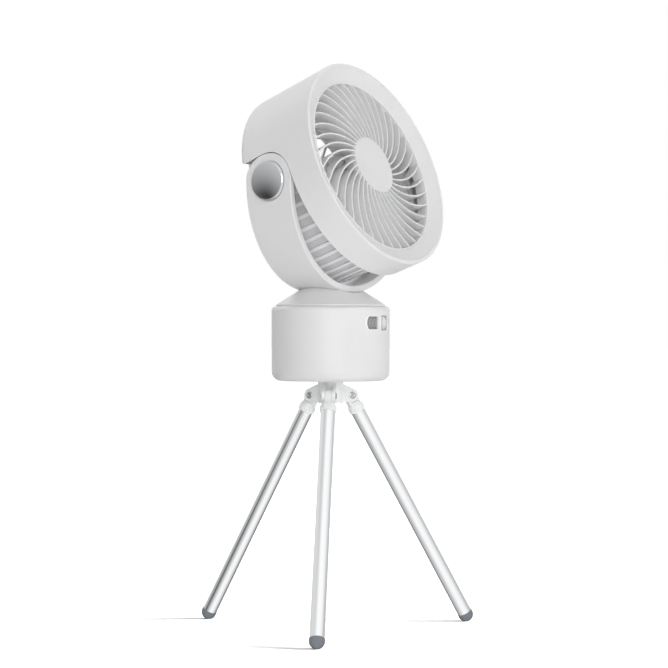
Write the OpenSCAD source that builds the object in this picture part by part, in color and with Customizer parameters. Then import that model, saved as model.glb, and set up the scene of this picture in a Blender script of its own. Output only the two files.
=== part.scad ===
// Portable camping fan: drum head in a U yoke, battery base and a folding tripod.
// Millimetres, +Z up, origin on the ground under the swivel axis, the fan blows towards -Y.

/* [Head] */
// Outer radius of the drum at its front rim
rim_r = 87.6; // [75:0.1:100]
// Distance from the tilt axis forward to the front rim
rim_reach = 49.5; // [44:0.5:60]
// Distance from the tilt axis back to the rear end of the drum
rear_reach = 24; // [23.5:0.5:30]
// Draft of the drum's outer wall in degrees
drum_draft = 1; // [0.5:0.1:2]
// Wall of the head shell
shell_wall = 2.6; // [2:0.1:3.2]
// Rounding of the drum's rear edge
rear_round = 6; // [4:0.5:8]
// Angle that the head is tipped up by as stored
head_tilt = 20.5; // [0:0.5:60]
// Rounding of the rim's outer edge
rim_round = 0.8; // [0.3:0.1:1.2]
// Rounding of the shell's lower rear corners
flap_round = 6; // [3:0.5:8]
// Thickness of the shell's inner rib that takes the head's screws
rib_t = 2; // [1.5:0.1:3]

/* [Front grille] */
// Width of the sloping bezel round the air opening
bezel_w = 12.5; // [11:0.1:16]
// Depth of the opening's edge behind the rim
bezel_depth = 6.4; // [4:0.1:8]
// Rounding of the opening's edge
bezel_round = 2; // [0.5:0.1:2.5]
// Radius of the hub ring in the middle
hub_r = 24.1; // [20:0.1:30]
// Depth of the hub's face behind the rim
hub_depth = 3.8; // [1:0.1:5]
// Number of swirl vanes
vane_count = 36; // [24:1:44]
// Thickness of a vane
vane_t = 1.3; // [0.8:0.1:1.8]
// Depth of a vane from front to back at the opening's edge
vane_depth = 8.5; // [6:0.5:11]
// Radius of the arc that a vane follows
vane_arc_r = 61; // [50:1:90]
// Angle between a vane's outer end and the radius in degrees
vane_lean = 39.4; // [20:0.1:50]
// Turn of the vane pattern about the hub in degrees
vane_phase = 4.5; // [0:0.1:10]
// Wall of the bezel and of its skirts
bezel_wall = 1.8; // [1.4:0.1:2.4]
// Width of the hub's rim round the cap disc set into it
hub_rim_w = 1; // [0.8:0.1:3]
// Thickness of the cap disc
hub_cap_t = 2; // [1.5:0.1:3]

/* [Rear cage] */
// Step from the drum's skin at the tilt axis in to the cage
cage_step = 10.2; // [9.9:0.1:12]
// Wall of the cage
cage_wall = 2.2; // [1.6:0.1:3]
// Number of axial bars in a full turn of the cage
cage_bars = 48; // [36:12:60]
// Width of an axial bar
cage_bar_w = 3; // [1.6:0.1:4]
// Depth of the recesses between the axial bars
cage_recess = 1.3; // [0.6:0.1:1.4]
// Rounding of the cage's rear corner
cage_round = 3; // [2.4:0.1:5]
// Thickness of the cage's front flange
flange_t = 2.4; // [1.8:0.1:3]
// Number of spokes in the cage's rear face
spoke_count = 24; // [12:6:36]
// Width of a spoke
spoke_w = 1.8; // [1.2:0.1:2.6]

/* [Impeller] */
// Number of blades
blade_count = 7; // [5:1:9]
// Gap between the blade tips and the pivot bosses
tip_gap = 2; // [1.5:0.1:8]
// Angle that the blades stand at
blade_phase = 12; // [0:1:51]
// Radius of the impeller's hub
fan_hub_r = 21; // [19.5:0.1:24]
// Length of the impeller's hub along the shaft
fan_hub_len = 36; // [30:0.5:38]
// Distance from the tilt axis forward to the front of the impeller's hub
fan_front = 31; // [29:0.5:32]
// Distance from the hub's front back to the middle of the blades
blade_set = 11; // [10:0.5:14]
// Chord of a blade at the tip
tip_chord = 40; // [30:1:46]
// Chord of a blade at the hub
root_chord = 21; // [16:1:24]
// Pitch of a blade at the tip in degrees
tip_pitch = 24; // [18:1:30]
// Pitch of a blade at the hub in degrees
root_pitch = 42; // [32:1:48]
// Thickness of a blade
blade_t = 1.6; // [1.2:0.1:2.4]

/* [Motor] */
// Radius of the motor shaft
shaft_r = 1.5; // [1.2:0.1:2]
// Outer radius of the bearings
bearing_r = 5; // [4:0.1:6]
// Width of a bearing
bearing_w = 4; // [3:0.1:5]
// Outer radius of the motor's rotor cup
rotor_r = 17.5; // [15:0.1:18]
// Wall of the rotor cup
rotor_wall = 1.5; // [1:0.1:2]
// Outer radius of the stator
stator_r = 15; // [12:0.1:15.5]
// Number of stator poles
pole_count = 9; // [6:3:12]
// Height of the stator
stator_h = 8; // [6:0.5:9]
// Length of the bearing post above the motor plate
motor_post_h = 28; // [26:0.5:30]

/* [Yoke] */
// Half of the yoke band's width, also the radius of its round arm ends
arm_r = 22.1; // [20:0.1:22.4]
// Thickness of the yoke band
yoke_wall = 4.5; // [3.5:0.1:5]
// Gap between the arm's end and the shell that nests round it
nest_gap = 0.8; // [0.6:0.1:1.5]
// Rounding of the yoke's long edges
yoke_edge = 0.9; // [0.4:0.1:1.4]

/* [Pivot] */
// Radius of the polished cap over a pivot
cap_r = 16; // [13:0.1:18]
// Width of the bevel round the cap's face
cap_bevel = 1.3; // [0.6:0.1:2.4]
// Height of the cap above the arm
cap_proud = 2.8; // [1.5:0.1:4]
// Rise of the cap's domed face
cap_dome = 0.8; // [0.3:0.1:1.2]
// Depth of the cap's seat in the arm
cap_depth = 3.2; // [2.5:0.1:4]
// Length of the bosses that the pivot pins screw into
pivot_boss_len = 9.2; // [7:0.1:12]
// Radius of the pivot pin
pivot_pin_r = 4; // [3:0.1:5]
// Radial clearance of a shaft in its bearing hole
running_fit = 0.05; // [0.02:0.01:0.1]
// Radius of the head of the pivot pin
pivot_head_r = 7.5; // [6:0.1:9]
// Thickness of the head of the pivot pin
pivot_head_t = 1.8; // [1.2:0.1:2.2]
// Outer radius of the bosses that the pivot runs in
pivot_boss_r = 11; // [9:0.1:13]
// Thickness of the friction washer between arm and cage
washer_t = 1; // [0.6:0.1:1.5]
// Wall of the bush in the arm
bush_wall = 1.8; // [1.2:0.1:2.5]

/* [Neck] */
// Rise from the base's top to the underside of the yoke
neck_rise = 11.4; // [10:0.1:15]
// Step from the base's side in to the foot of the neck cone
neck_step = 3.8; // [2.6:0.1:8]
// Slope of the neck cone in degrees above level
neck_slope = 32.6; // [28:0.1:36]
// Wall of the neck cone
neck_wall = 2.4; // [2:0.1:3]
// Radius of the hollow post that the neck turns on
post_r = 9; // [8:0.1:11]
// Radius of the hole through the post
post_hole_r = 5; // [3:0.1:6]
// Height of the shut line between neck and base
shut_gap = 0.15; // [0.1:0.05:0.8]

/* [Base] */
// Room between the corners of the battery tray and the base's wall
base_room = 1.1; // [0.5:0.1:8]
// Height of the battery base
base_h = 61; // [56:0.5:75]
// Wall of the base
base_wall = 2.2; // [1.8:0.1:3]
// Rounding of the base's top edge
base_top_round = 3.4; // [1.5:0.1:3.6]
// Rounding of the base's bottom edge
base_bottom_round = 8; // [5:0.5:10]
// Step from the base's side in to the cover let into the underside
cover_step = 10.9; // [10.4:0.1:16]
// Thickness of the cover in the underside
cover_t = 3; // [2.4:0.1:4]

/* [Controls] */
// Drop from the base's top to the control windows' centre
panel_drop = 13.6; // [12:0.1:22]
// Distance from the centre line to the far end of each window
window_reach = 15.2; // [12:0.1:18]
// Height of a window
window_h = 12; // [9:0.1:13]
// Half of the strip left between the windows
window_strip = 2.6; // [1.5:0.1:4]
// Radius of the windows' bowed outer ends
window_bow_r = 7; // [6.8:0.1:9]
// Depth of the display and the button behind the wall's face
window_sink = 1.1; // [0.6:0.1:1.6]
// Travel of the power button
button_travel = 0.8; // [0.4:0.1:1]
// Gap round the power button
button_gap = 0.25; // [0.15:0.05:0.4]
// Height of the charging port above the underside of the base
charge_h = 20; // [16:0.5:30]
// Depth of the control board behind the base's face
board_depth = 9.5; // [8:0.5:11]
// Thickness of the control board
board_t = 1.6; // [1:0.1:2]

/* [Battery] */
// Radius of a cell
cell_r = 9.2; // [8.5:0.1:9.5]
// Length of a cell
cell_len = 65; // [60:0.5:66]
// Number of cells side by side
cell_count = 3; // [2:1:3]
// Wall of the tray round the cells
tray_wall = 1.5; // [1:0.1:2]

/* [Tripod] */
// Distance from the crown's axis to a leg's hinge pin
hinge_r = 17.3; // [16:0.1:22]
// Depth of the hinge pins below the base
hinge_drop = 11.9; // [10:0.1:16]
// Splay of an open leg from upright in degrees
leg_splay = 30.3; // [24:0.1:36]
// Distance from a hinge pin to the middle of the foot's dome
leg_len = 215; // [160:1:260]
// Outer radius of a leg tube
tube_r = 5.95; // [5:0.05:7]
// Wall of a leg tube
tube_wall = 1; // [0.8:0.1:1.5]
// Outer radius of a leg's socket
socket_r = 6.8; // [6.6:0.1:8]
// Distance from the hinge pin to the open end of the socket
socket_end = 18.5; // [16:0.5:24]
// Radius of a rubber foot
foot_r = 6.3; // [5.6:0.1:8]
// Length of rubber showing above the dome
foot_cuff = 4.4; // [2:0.1:8]
// Depth of the flat worn on the dome where it stands
foot_flat = 0.35; // [0.2:0.05:0.8]
// Radius of the crown's post
crown_r = 10.3; // [9:0.1:11]
// Radius of the crown's round cheeks
cheek_r = 5.3; // [4.6:0.1:6]
// Thickness of a cheek
cheek_t = 2.8; // [2:0.1:3.5]
// Width of the slot between two cheeks
slot_w = 5.6; // [4.5:0.1:7]
// Radius of a hinge pin
hinge_pin_r = 1.6; // [1.2:0.1:2]
// Radius of a hinge pin's head
hinge_head_r = 3; // [2.4:0.1:3.4]
// Thickness of a hinge pin's head
hinge_head_t = 0.8; // [0.5:0.1:1.2]
// Radius of the tripod's screw
stud_r = 3.175; // [3:0.005:4]
// Length of the tripod's screw above the crown
stud_len = 7; // [5:0.5:9]

/* [Screws] */
// Radius of a screw's shank
screw_r = 1.2; // [1:0.1:1.5]
// Radius of a screw's head
screw_head_r = 2.3; // [2:0.1:2.8]
// Length of a screw below its head
screw_len = 8; // [6:0.5:10]

/* [Hidden] */
$fn = 96;

eps = 0.01;
far = 400;
// Extra length of a cut past the surface that it opens
over = 1;
fit_gap = 0.2;

// Heights up the stack, from the ground to the tilt axis
hinge_z = leg_len * cos(leg_splay) + foot_r - foot_flat;
base_z = hinge_z + hinge_drop;
base_top_z = base_z + base_h;
yoke_bottom_z = base_top_z + neck_rise;
pivot_z = yoke_bottom_z + drum_r(arm_r);

// The drum's outer radius at a distance forward of the tilt axis
function drum_r(u) = rim_r - (rim_reach - u) * tan(drum_draft);
nest_r = arm_r + nest_gap;
cage_r = drum_r(0) - cage_step;
yoke_in_r = drum_r(-arm_r) - yoke_wall;

// The base is as wide as its battery needs: the cells lie side by side in a tray
cell_pitch = 2 * cell_r + fit_gap;
tray_l = cell_len + 2 * (tray_wall + fit_gap);
tray_w = cell_pitch * cell_count + 2 * tray_wall;
base_r = norm([tray_l, tray_w]) / 2 + base_room + base_wall;
cover_r = base_r - cover_step;

// Colours
paint_white = [0.88, 0.88, 0.88];
paint_shade = [0.80, 0.80, 0.81];
paint_dark = [0.30, 0.31, 0.33];
paint_steel = [0.70, 0.71, 0.73];
paint_chrome = [0.35, 0.36, 0.38];
paint_rubber = [0.42, 0.44, 0.46];
paint_brass = [0.78, 0.62, 0.32];
paint_copper = [0.72, 0.42, 0.26];
paint_green = [0.10, 0.38, 0.22];

// Head frame: origin on the tilt axis, X to the right, Y up and Z forward along the drum
module in_head() {
    translate([0, 0, pivot_z]) rotate([90 - head_tilt, 0, 0]) children();
}

// Revolved ring from radius r0 to r1 and from z0 to z1
module ring(r0, r1, z0, z1) {
    rotate_extrude() translate([r0, z0]) square([r1 - r0, z1 - z0]);
}

// Countersunk screw pointing along -Z, the top of its head at z = 0
module screw(len) {
    head_t = screw_head_r - screw_r;
    translate([0, 0, -head_t]) cylinder(h = head_t, r1 = screw_r, r2 = screw_head_r);
    translate([0, 0, -head_t - len]) cylinder(h = len + eps, r = screw_r);
}

module round_copies(n, first = 0) {
    for (i = [0 : n - 1]) rotate([0, 0, first + i * 360 / n]) children();
}

/* ---- Head ---- */

// Half section of the drum's outer skin, offset inwards by d
module drum_half(d) {
    r_back = drum_r(rear_round - rear_reach) - d;
    round_in = rear_round - d;
    translate([r_back - round_in, rear_round - rear_reach]) difference() {
        circle(r = round_in);
        translate([-rear_round, 0]) square(2 * rear_round);
        translate([-2 * rear_round, -2 * rear_round]) square([2 * rear_round, 4 * rear_round]);
    }
    polygon([
        [0, d - rear_reach], [r_back - round_in, d - rear_reach],
        [r_back - round_in, rear_round - rear_reach], [r_back, rear_round - rear_reach],
        [drum_r(rim_reach) - d, rim_reach + (d > 0 ? over : 0)], [0, rim_reach + (d > 0 ? over : 0)]
    ]);
}

// Side outline of what the shell leaves open: below and behind, round the arm's end
module nest_outline() {
    circle(r = nest_r);
    translate([-far, -far]) square([far, far + nest_r]);
    translate([-eps, -far]) square([nest_r + eps, far]);
    translate([flap_round - rear_reach, nest_r + flap_round]) difference() {
        translate([-flap_round - over, -flap_round - over]) square(flap_round + over);
        circle(r = flap_round);
    }
}

rear_lip_r = cage_r + fit_gap;
rib_gap = 1;
rib_in_r = cage_r + rib_gap;
rib_u = nest_r + flange_t;
head_screw_count = 4;
head_screw_r = (cage_r + drum_r(nest_r) - shell_wall) / 2;

// Places round the head where screws clamp the cage, the shell's rib and the grille together
module at_head_screws() {
    round_copies(head_screw_count, 180 / head_screw_count)
        translate([head_screw_r, 0, 0]) children();
}

module head_shell() {
    color(paint_white) in_head() difference() {
        rotate_extrude() {
            difference() {
                drum_half(0);
                drum_half(shell_wall);
                translate([0, -rear_reach - over]) square([rear_lip_r, shell_wall + 2 * over]);
                translate([rim_r - rim_round, rim_reach - rim_round]) difference() {
                    square(rim_round + over);
                    circle(r = rim_round);
                }
            }
            // inner rib between the cage's flange and the grille's posts
            translate([rib_in_r, rib_u]) square([drum_r(rib_u) - shell_wall / 2 - rib_in_r, rib_t]);
        }
        rotate([0, -90, 0]) translate([0, 0, -far / 2]) linear_extrude(far) nest_outline();
        at_head_screws() translate([0, 0, rib_u - over]) cylinder(h = rib_t + 2 * over, r = screw_r);
    }
}

// Levels along the drum, measured forward from the tilt axis
opening_u = rim_reach - bezel_depth;
hub_u = rim_reach - hub_depth;
bezel_back_u = opening_u - vane_depth;
bezel_out_r = drum_r(bezel_back_u) - shell_wall - fit_gap / 2;
bezel_set = 0.4;
bezel_rim_u = rim_reach - bezel_set;
opening_r = bezel_out_r - bezel_w;
bezel_slope = atan((bezel_rim_u - opening_u) / bezel_w);
head_post_r = 3;
hub_wall = 1.8;
hub_cap_r = hub_r - hub_rim_w;
hub_seat_r = hub_cap_r + fit_gap / 2;
hub_seat_u = hub_u - hub_cap_t;
// Turn of the revolved rings that puts their seam between two vanes, at the hub and at the opening
ring_turn = vane_phase + 180 / vane_count;

// Height of the bezel's outer face, and of its inner face one wall below, at radius r
function bezel_face(r) = opening_u + (r - opening_r) * tan(bezel_slope);
function bezel_under(r) = bezel_face(r) - bezel_wall / cos(bezel_slope);

// Vanes: their front edges lie in a shallow dome and dip to the opening's rounded edge
vane_set = 0.3;
vane_sink = 0.6;
vane_rise = 1.4;
vane_dip_w = 3;
vane_centre = [opening_r - vane_arc_r * sin(vane_lean), vane_arc_r * cos(vane_lean)];
// Angle that the arcs run on beyond the opening, into the bezel
vane_lead = 2;

// Angle at a vane's centre between the grille's axis and the vane's point at radius r
function vane_angle(r) =
    let (c = norm(vane_centre)) acos((pow(vane_arc_r, 2) + c * c - r * r) / (2 * vane_arc_r * c));

// One vane: an upright arc that leans away from the radius at the opening and winds in to the hub
module vane() {
    sweep = vane_angle(opening_r) - vane_angle(hub_r - hub_wall);
    translate(vane_centre) rotate_extrude(start = vane_lean - 90 - sweep, angle = sweep + vane_lead)
        translate([vane_arc_r - vane_t / 2, bezel_back_u]) square([vane_t, rim_reach - bezel_back_u]);
}

module bezel_section() {
    // rounded edge of the opening, centred one rounding inside both of its faces
    round_x = opening_r + bezel_round;
    round_at = [round_x, bezel_face(round_x) - bezel_round / cos(bezel_slope)];
    side = [-sin(bezel_slope), cos(bezel_slope)];
    translate(round_at) intersection() {
        circle(r = bezel_round);
        polygon([[0, 0], 2 * bezel_round * [-1, 0], 2 * bezel_round * [-1, 1], 2 * bezel_round * side]);
    }
    polygon([
        [opening_r, round_at[1]], round_at, round_at + bezel_round * side,
        [bezel_out_r, bezel_rim_u], [bezel_out_r, bezel_back_u],
        [bezel_out_r - bezel_wall, bezel_back_u],
        [bezel_out_r - bezel_wall, bezel_under(bezel_out_r - bezel_wall)],
        [round_x, bezel_under(round_x)], [opening_r + bezel_wall, bezel_under(round_x) - bezel_round],
        [opening_r + bezel_wall, bezel_back_u], [opening_r, bezel_back_u]
    ]);
}

module hub_section() {
    // hub cup that carries the vanes and seats the cap disc
    polygon([
        [hub_r - hub_wall, bezel_back_u], [hub_r, bezel_back_u], [hub_r, hub_u],
        [hub_seat_r, hub_u], [hub_seat_r, hub_seat_u], [0, hub_seat_u],
        [0, hub_seat_u - hub_wall], [hub_r - hub_wall, hub_seat_u - hub_wall]
    ]);
}

module front_grille() {
    color(paint_white) in_head() {
        rotate([0, 0, ring_turn]) rotate_extrude() {
            bezel_section();
            hub_section();
        }
        intersection() {
            round_copies(vane_count, vane_phase) vane();
            rotate([0, 0, ring_turn]) rotate_extrude() polygon([
                [hub_r - hub_wall / 2, bezel_back_u], [opening_r + vane_sink, bezel_back_u],
                [opening_r + vane_sink, opening_u - bezel_round / 2],
                [opening_r, opening_u + vane_set], [opening_r - vane_dip_w, opening_u + vane_rise],
                [hub_r, hub_u - vane_set], [hub_r - hub_wall / 2, hub_u - vane_set]
            ]);
        }
        // posts behind the bezel that take the head's screws
        at_head_screws() translate([0, 0, rib_u + rib_t]) difference() {
            cylinder(h = bezel_under(head_screw_r) + over - rib_u - rib_t, r = head_post_r);
            translate([0, 0, -over]) cylinder(h = screw_len, r = screw_r);
        }
    }
}

module hub_cap() {
    color(paint_white) in_head() translate([0, 0, hub_seat_u]) cylinder(h = hub_cap_t, r = hub_cap_r);
}

/* ---- Rear cage ---- */

cage_back_u = -rear_reach;
flange_u = nest_r;
flange_out_r = drum_r(flange_u) - shell_wall - fit_gap;
slot_pitch = 360 / cage_bars;
post_wall = 1.6;
motor_post_r = bearing_r + post_wall;
motor_floor_u = -rear_reach + cage_wall;
plate_margin = 2.5;
// Step from the faces of the cage's rear rings down to the spokes
spoke_set = 0.2;
spoke_in_r = rotor_r + plate_margin;
spoke_out_r = cage_r - cage_wall - cage_round;
mid_ring_r = (spoke_in_r + spoke_out_r) / 2;
pivot_boss_h = 3.4;
washer_gap = 0.2;
pivot_face_x = yoke_in_r - pivot_boss_h;
cage_face_x = pivot_face_x - washer_t - washer_gap;
boss_in_x = cage_face_x - pivot_boss_len;
blade_tip_r = boss_in_x - tip_gap;

module cage_slots() {
    // blind recesses between the axial bars, over the lower half that the shell leaves bare
    back = 5;
    front = 2;
    slot_w = 2 * PI * cage_r / cage_bars - cage_bar_w;
    lower = floor(cage_bars / 4) - 2;
    for (i = [-lower : lower]) rotate([0, 0, -90 + i * slot_pitch])
        translate([cage_r - cage_recess, -slot_w / 2, cage_back_u + back])
            cube([cage_recess + over, slot_w, flange_u - cage_back_u - back - front]);
}

module cage_section() {
    // side wall with a rounded back corner, rear rim, front flange and the ring half way along the spokes
    translate([cage_r - cage_round, cage_back_u + cage_round]) intersection() {
        difference() {
            circle(r = cage_round);
            circle(r = cage_round - cage_wall);
        }
        translate([0, -cage_round]) square(cage_round);
    }
    translate([cage_r - cage_wall, cage_back_u + cage_round])
        square([cage_wall, flange_u - cage_back_u - cage_round]);
    translate([spoke_out_r, cage_back_u]) square([cage_r - cage_round - spoke_out_r, cage_wall]);
    translate([cage_r - cage_wall, flange_u]) square([flange_out_r - cage_r + cage_wall, flange_t]);
    translate([mid_ring_r - spoke_w / 2, cage_back_u]) square([spoke_w, cage_wall]);
}

module rear_cage() {
    color(paint_shade) in_head() difference() {
        union() {
            rotate_extrude() cage_section();
            // motor plate and the bearing post on it
            translate([0, 0, cage_back_u]) cylinder(h = cage_wall, r = spoke_in_r);
            translate([0, 0, cage_back_u]) cylinder(h = cage_wall + motor_post_h, r = motor_post_r);
            round_copies(spoke_count) translate([spoke_in_r - over, -spoke_w / 2, cage_back_u + spoke_set])
                cube([spoke_out_r - spoke_in_r + 2 * over, spoke_w, cage_wall - 2 * spoke_set]);
            // bosses that the pivot pins screw into
            for (s = [-1, 1]) rotate([0, s * 90, 0]) translate([0, 0, boss_in_x])
                cylinder(h = pivot_boss_len, r = pivot_boss_r);
        }
        cage_slots();
        translate([0, 0, motor_floor_u]) cylinder(h = motor_post_h + over, r = bearing_r);
        for (s = [-1, 1]) rotate([0, s * 90, 0]) translate([0, 0, boss_in_x - over])
            cylinder(h = pivot_boss_len + 2 * over, r = pivot_pin_r);
        at_head_screws() translate([0, 0, flange_u]) rotate([180, 0, 0]) screw(screw_len);
    }
}

module cage_screws() {
    color(paint_steel) in_head() at_head_screws() translate([0, 0, flange_u])
        rotate([180, 0, 0]) screw(screw_len);
}

/* ---- Motor and impeller ---- */

post_top_u = motor_floor_u + motor_post_h;
rotor_gap = 1;
stator_drop = 1.5;
stator_core = 2;
pole_w = 2.4;
shoe_w = 6.4;
shoe_t = 1.2;
skirt_len = 3.5;
shaft_end_gap = 0.5;
shaft_proud = 2.5;
nut_r = 3.2;
nut_t = 2;
rotor_u = post_top_u + rotor_gap;
fan_back_u = fan_front - fan_hub_len;

module motor_bearings() {
    color(paint_steel) in_head() for (u = [motor_floor_u, motor_floor_u + motor_post_h - bearing_w])
        ring(shaft_r + running_fit, bearing_r, u, u + bearing_w);
}

module motor_stator() {
    // lamination stack on the bearing post, with wound poles between its end turns
    u0 = post_top_u - stator_drop - stator_h;
    color(paint_copper) in_head() {
        ring(motor_post_r, motor_post_r + stator_core, u0, u0 + stator_h);
        round_copies(pole_count) {
            translate([motor_post_r + stator_core - over / 2, -pole_w / 2, u0 + shoe_t])
                cube([stator_r - motor_post_r - stator_core, pole_w, stator_h - 2 * shoe_t]);
            intersection() {
                ring(stator_r - shoe_t, stator_r, u0, u0 + stator_h);
                translate([0, -shoe_w / 2, u0]) cube([stator_r, shoe_w, stator_h]);
            }
        }
    }
}

module motor_rotor() {
    // steel cup that turns round the stator, open towards the motor plate
    color(paint_steel) in_head() {
        ring(rotor_r - rotor_wall, rotor_r, rotor_u - stator_h - skirt_len, rotor_u + rotor_wall);
        ring(shaft_r, rotor_r, rotor_u, rotor_u + rotor_wall);
    }
}

module motor_shaft() {
    u0 = motor_floor_u + shaft_end_gap;
    color(paint_steel) in_head() translate([0, 0, u0])
        cylinder(h = fan_front + shaft_proud - u0, r = shaft_r);
}

module impeller_nut() {
    color(paint_brass) in_head() difference() {
        translate([0, 0, fan_front]) cylinder(h = nut_t, r = nut_r, $fn = 6);
        translate([0, 0, fan_front - over]) cylinder(h = nut_t + 2 * over, r = shaft_r);
    }
}

// Blade section: a thin cambered chord laid on a cylinder of radius r, pitched and swept
blade_steps = 6;
chord_steps = 8;
camber = 0.09;
blade_sink = 1.2;
blade_sweep = 14;
edge_share = 0.35;
blade_mid_u = fan_front - blade_set;

function lerp(a, b, t) = a + (b - a) * t;
function blade_point(t, c, side) =
    let (
        r = lerp(fan_hub_r - blade_sink, blade_tip_r, t),
        chord = lerp(root_chord, tip_chord, t),
        pitch = lerp(root_pitch, tip_pitch, t),
        along = (c - 0.5) * chord,
        bow = camber * chord * (1 - pow(2 * c - 1, 2)),
        half = side * blade_t / 2 * lerp(edge_share, 1, sin(180 * c)),
        across = bow + half,
        turn = blade_sweep * t * t,
        a = (along * cos(pitch) - across * sin(pitch)) / r * 180 / PI + turn,
        u = blade_mid_u + along * sin(pitch) + across * cos(pitch)
    ) [r * cos(a), r * sin(a), u];

module blade() {
    ring_n = 2 * (chord_steps + 1);
    points = [
        for (i = [0 : blade_steps]) each concat(
            [for (j = [0 : chord_steps]) blade_point(i / blade_steps, j / chord_steps, 1)],
            [for (j = [chord_steps : -1 : 0]) blade_point(i / blade_steps, j / chord_steps, -1)]
        )
    ];
    sides = [
        for (i = [0 : blade_steps - 1], j = [0 : ring_n - 1])
            let (a = i * ring_n + j, b = i * ring_n + (j + 1) % ring_n)
            each [[a, b, b + ring_n], [a, b + ring_n, a + ring_n]]
    ];
    last = blade_steps * ring_n;
    caps = [
        for (j = [0 : chord_steps - 1])
            let (a = j, b = j + 1, c = ring_n - 2 - j, d = ring_n - 1 - j)
            each [[a, c, b], [a, d, c], [last + a, last + b, last + c], [last + a, last + c, last + d]]
    ];
    polyhedron(points = points, faces = concat(sides, caps));
}

fan_boss_r = 4.5;
fan_hub_wall = 1.8;

module impeller() {
    color(paint_white) in_head() {
        difference() {
            union() {
                difference() {
                    translate([0, 0, fan_back_u]) cylinder(h = fan_hub_len, r = fan_hub_r);
                    translate([0, 0, fan_back_u - over])
                        cylinder(h = fan_hub_len + over - fan_hub_wall, r = fan_hub_r - fan_hub_wall);
                }
                translate([0, 0, rotor_u + rotor_wall])
                    cylinder(h = fan_front - rotor_u - rotor_wall, r = fan_boss_r);
            }
            translate([0, 0, fan_back_u - over]) cylinder(h = fan_hub_len + 2 * over, r = shaft_r);
        }
        round_copies(blade_count, blade_phase) blade();
    }
}

/* ---- Yoke and pivots ---- */

// Everything on the tilt axis is drawn along +Z and laid out to one side
module on_pivot(s) {
    translate([0, 0, pivot_z]) rotate([0, s * 90, 0]) children();
}

cap_seat_x = drum_r(0) - cap_depth;
cap_face_x = drum_r(0) + cap_proud;
pin_gap = 0.2;
head_room = 0.5;
head_pocket_x = cap_seat_x - pivot_head_t - head_room;
bush_r = pivot_pin_r + running_fit + bush_wall;

module yoke_section() {
    // slanted cross-section of the band, flush with the drum, with rounded long edges
    rr = drum_r(-arm_r);
    rf = drum_r(arm_r);
    e = yoke_edge;
    for (s = [-1, 1], r = [yoke_in_r + e, (s < 0 ? rr : rf) - e])
        translate([r, s * (arm_r - e)]) circle(r = e);
    polygon([
        [yoke_in_r, e - arm_r], [yoke_in_r + e, -arm_r], [rr - e, -arm_r], [rr, e - arm_r],
        [rf, arm_r - e], [rf - e, arm_r], [yoke_in_r + e, arm_r], [yoke_in_r, arm_r - e]
    ]);
}

module yoke_band() {
    color(paint_white) difference() {
        union() {
            translate([0, 0, pivot_z]) intersection() {
                rotate([90, 0, 0]) rotate_extrude() yoke_section();
                rotate([90, 0, 90]) translate([0, 0, -far / 2]) linear_extrude(far) {
                    circle(r = arm_r);
                    translate([-arm_r, -far]) square([2 * arm_r, far]);
                }
            }
            for (s = [-1, 1]) on_pivot(s) translate([0, 0, pivot_face_x])
                cylinder(h = yoke_in_r - pivot_face_x + yoke_wall / 2, r = pivot_boss_r);
        }
        for (s = [-1, 1]) on_pivot(s) {
            translate([0, 0, cap_seat_x]) cylinder(h = far, r = cap_r + fit_gap);
            translate([0, 0, head_pocket_x]) cylinder(h = far, r = pivot_head_r + 2 * fit_gap);
            translate([0, 0, pivot_face_x - over]) cylinder(h = far, r = bush_r);
        }
        // cable hole, and countersunk holes for the screws down into the neck
        translate([0, 0, yoke_bottom_z - yoke_wall]) cylinder(h = 3 * yoke_wall, r = post_hole_r);
        for (s = [-1, 1]) translate([s * neck_screw_x, 0, yoke_screw_z]) {
            screw(screw_len);
            cylinder(h = yoke_wall, r = screw_head_r);
        }
    }
}

module pivot_bush(s) {
    color(paint_dark) on_pivot(s)
        ring(pivot_pin_r + running_fit, bush_r, pivot_face_x, head_pocket_x);
}

module friction_washer(s) {
    color(paint_dark) on_pivot(s)
        ring(pivot_pin_r + fit_gap, pivot_boss_r - over, pivot_face_x - washer_t, pivot_face_x);
}

module pivot_pin(s) {
    color(paint_steel) on_pivot(s) {
        translate([0, 0, boss_in_x]) cylinder(h = head_pocket_x + pin_gap - boss_in_x, r = pivot_pin_r);
        translate([0, 0, head_pocket_x + pin_gap]) cylinder(h = pivot_head_t, r = pivot_head_r);
    }
}

module pivot_cap(s) {
    // turned cup with a bevelled side and a domed face
    face_r = cap_r - cap_bevel;
    dome_u = cap_face_x - cap_dome;
    dome_r = (pow(face_r, 2) + pow(cap_dome, 2)) / (2 * cap_dome);
    cup_r = pivot_head_r + over;
    cup_u = cap_seat_x + cap_depth / 2;
    color(paint_chrome) on_pivot(s) rotate_extrude() {
        polygon([
            [cup_r, cap_seat_x], [cap_r, cap_seat_x], [cap_r, cap_face_x - cap_proud],
            [face_r, dome_u], [0, dome_u], [0, cup_u], [cup_r, cup_u]
        ]);
        translate([0, cap_face_x - dome_r]) intersection() {
            circle(r = dome_r);
            translate([0, dome_r - cap_dome]) square([face_r, 2 * cap_dome]);
        }
    }
}

/* ---- Neck and swivel ---- */

neck_foot_z = base_top_z + shut_gap;
neck_foot_r = base_r - neck_step;
neck_edge = 1.2;
neck_screw_x = 14;
neck_pillar_r = 3.6;
saddle_gap = 0.4;
seat_gap = 0.05;
yoke_screw_z = pivot_z - sqrt(pow(yoke_in_r, 2) - pow(neck_screw_x - screw_head_r, 2)) - fit_gap;
bush_wall_t = 2;
bush_flange_w = 5;
bush_flange_t = 1.4;
retainer_z = base_top_z - base_wall - bush_flange_t - fit_gap;
retainer_t = 1.6;
retainer_w = 4;
retainer_screw_r = (post_r + post_hole_r) / 2;
retainer_shank_r = 0.9;
retainer_head_r = 1.8;
retainer_head_t = 1;
retainer_depth = 5;

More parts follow.
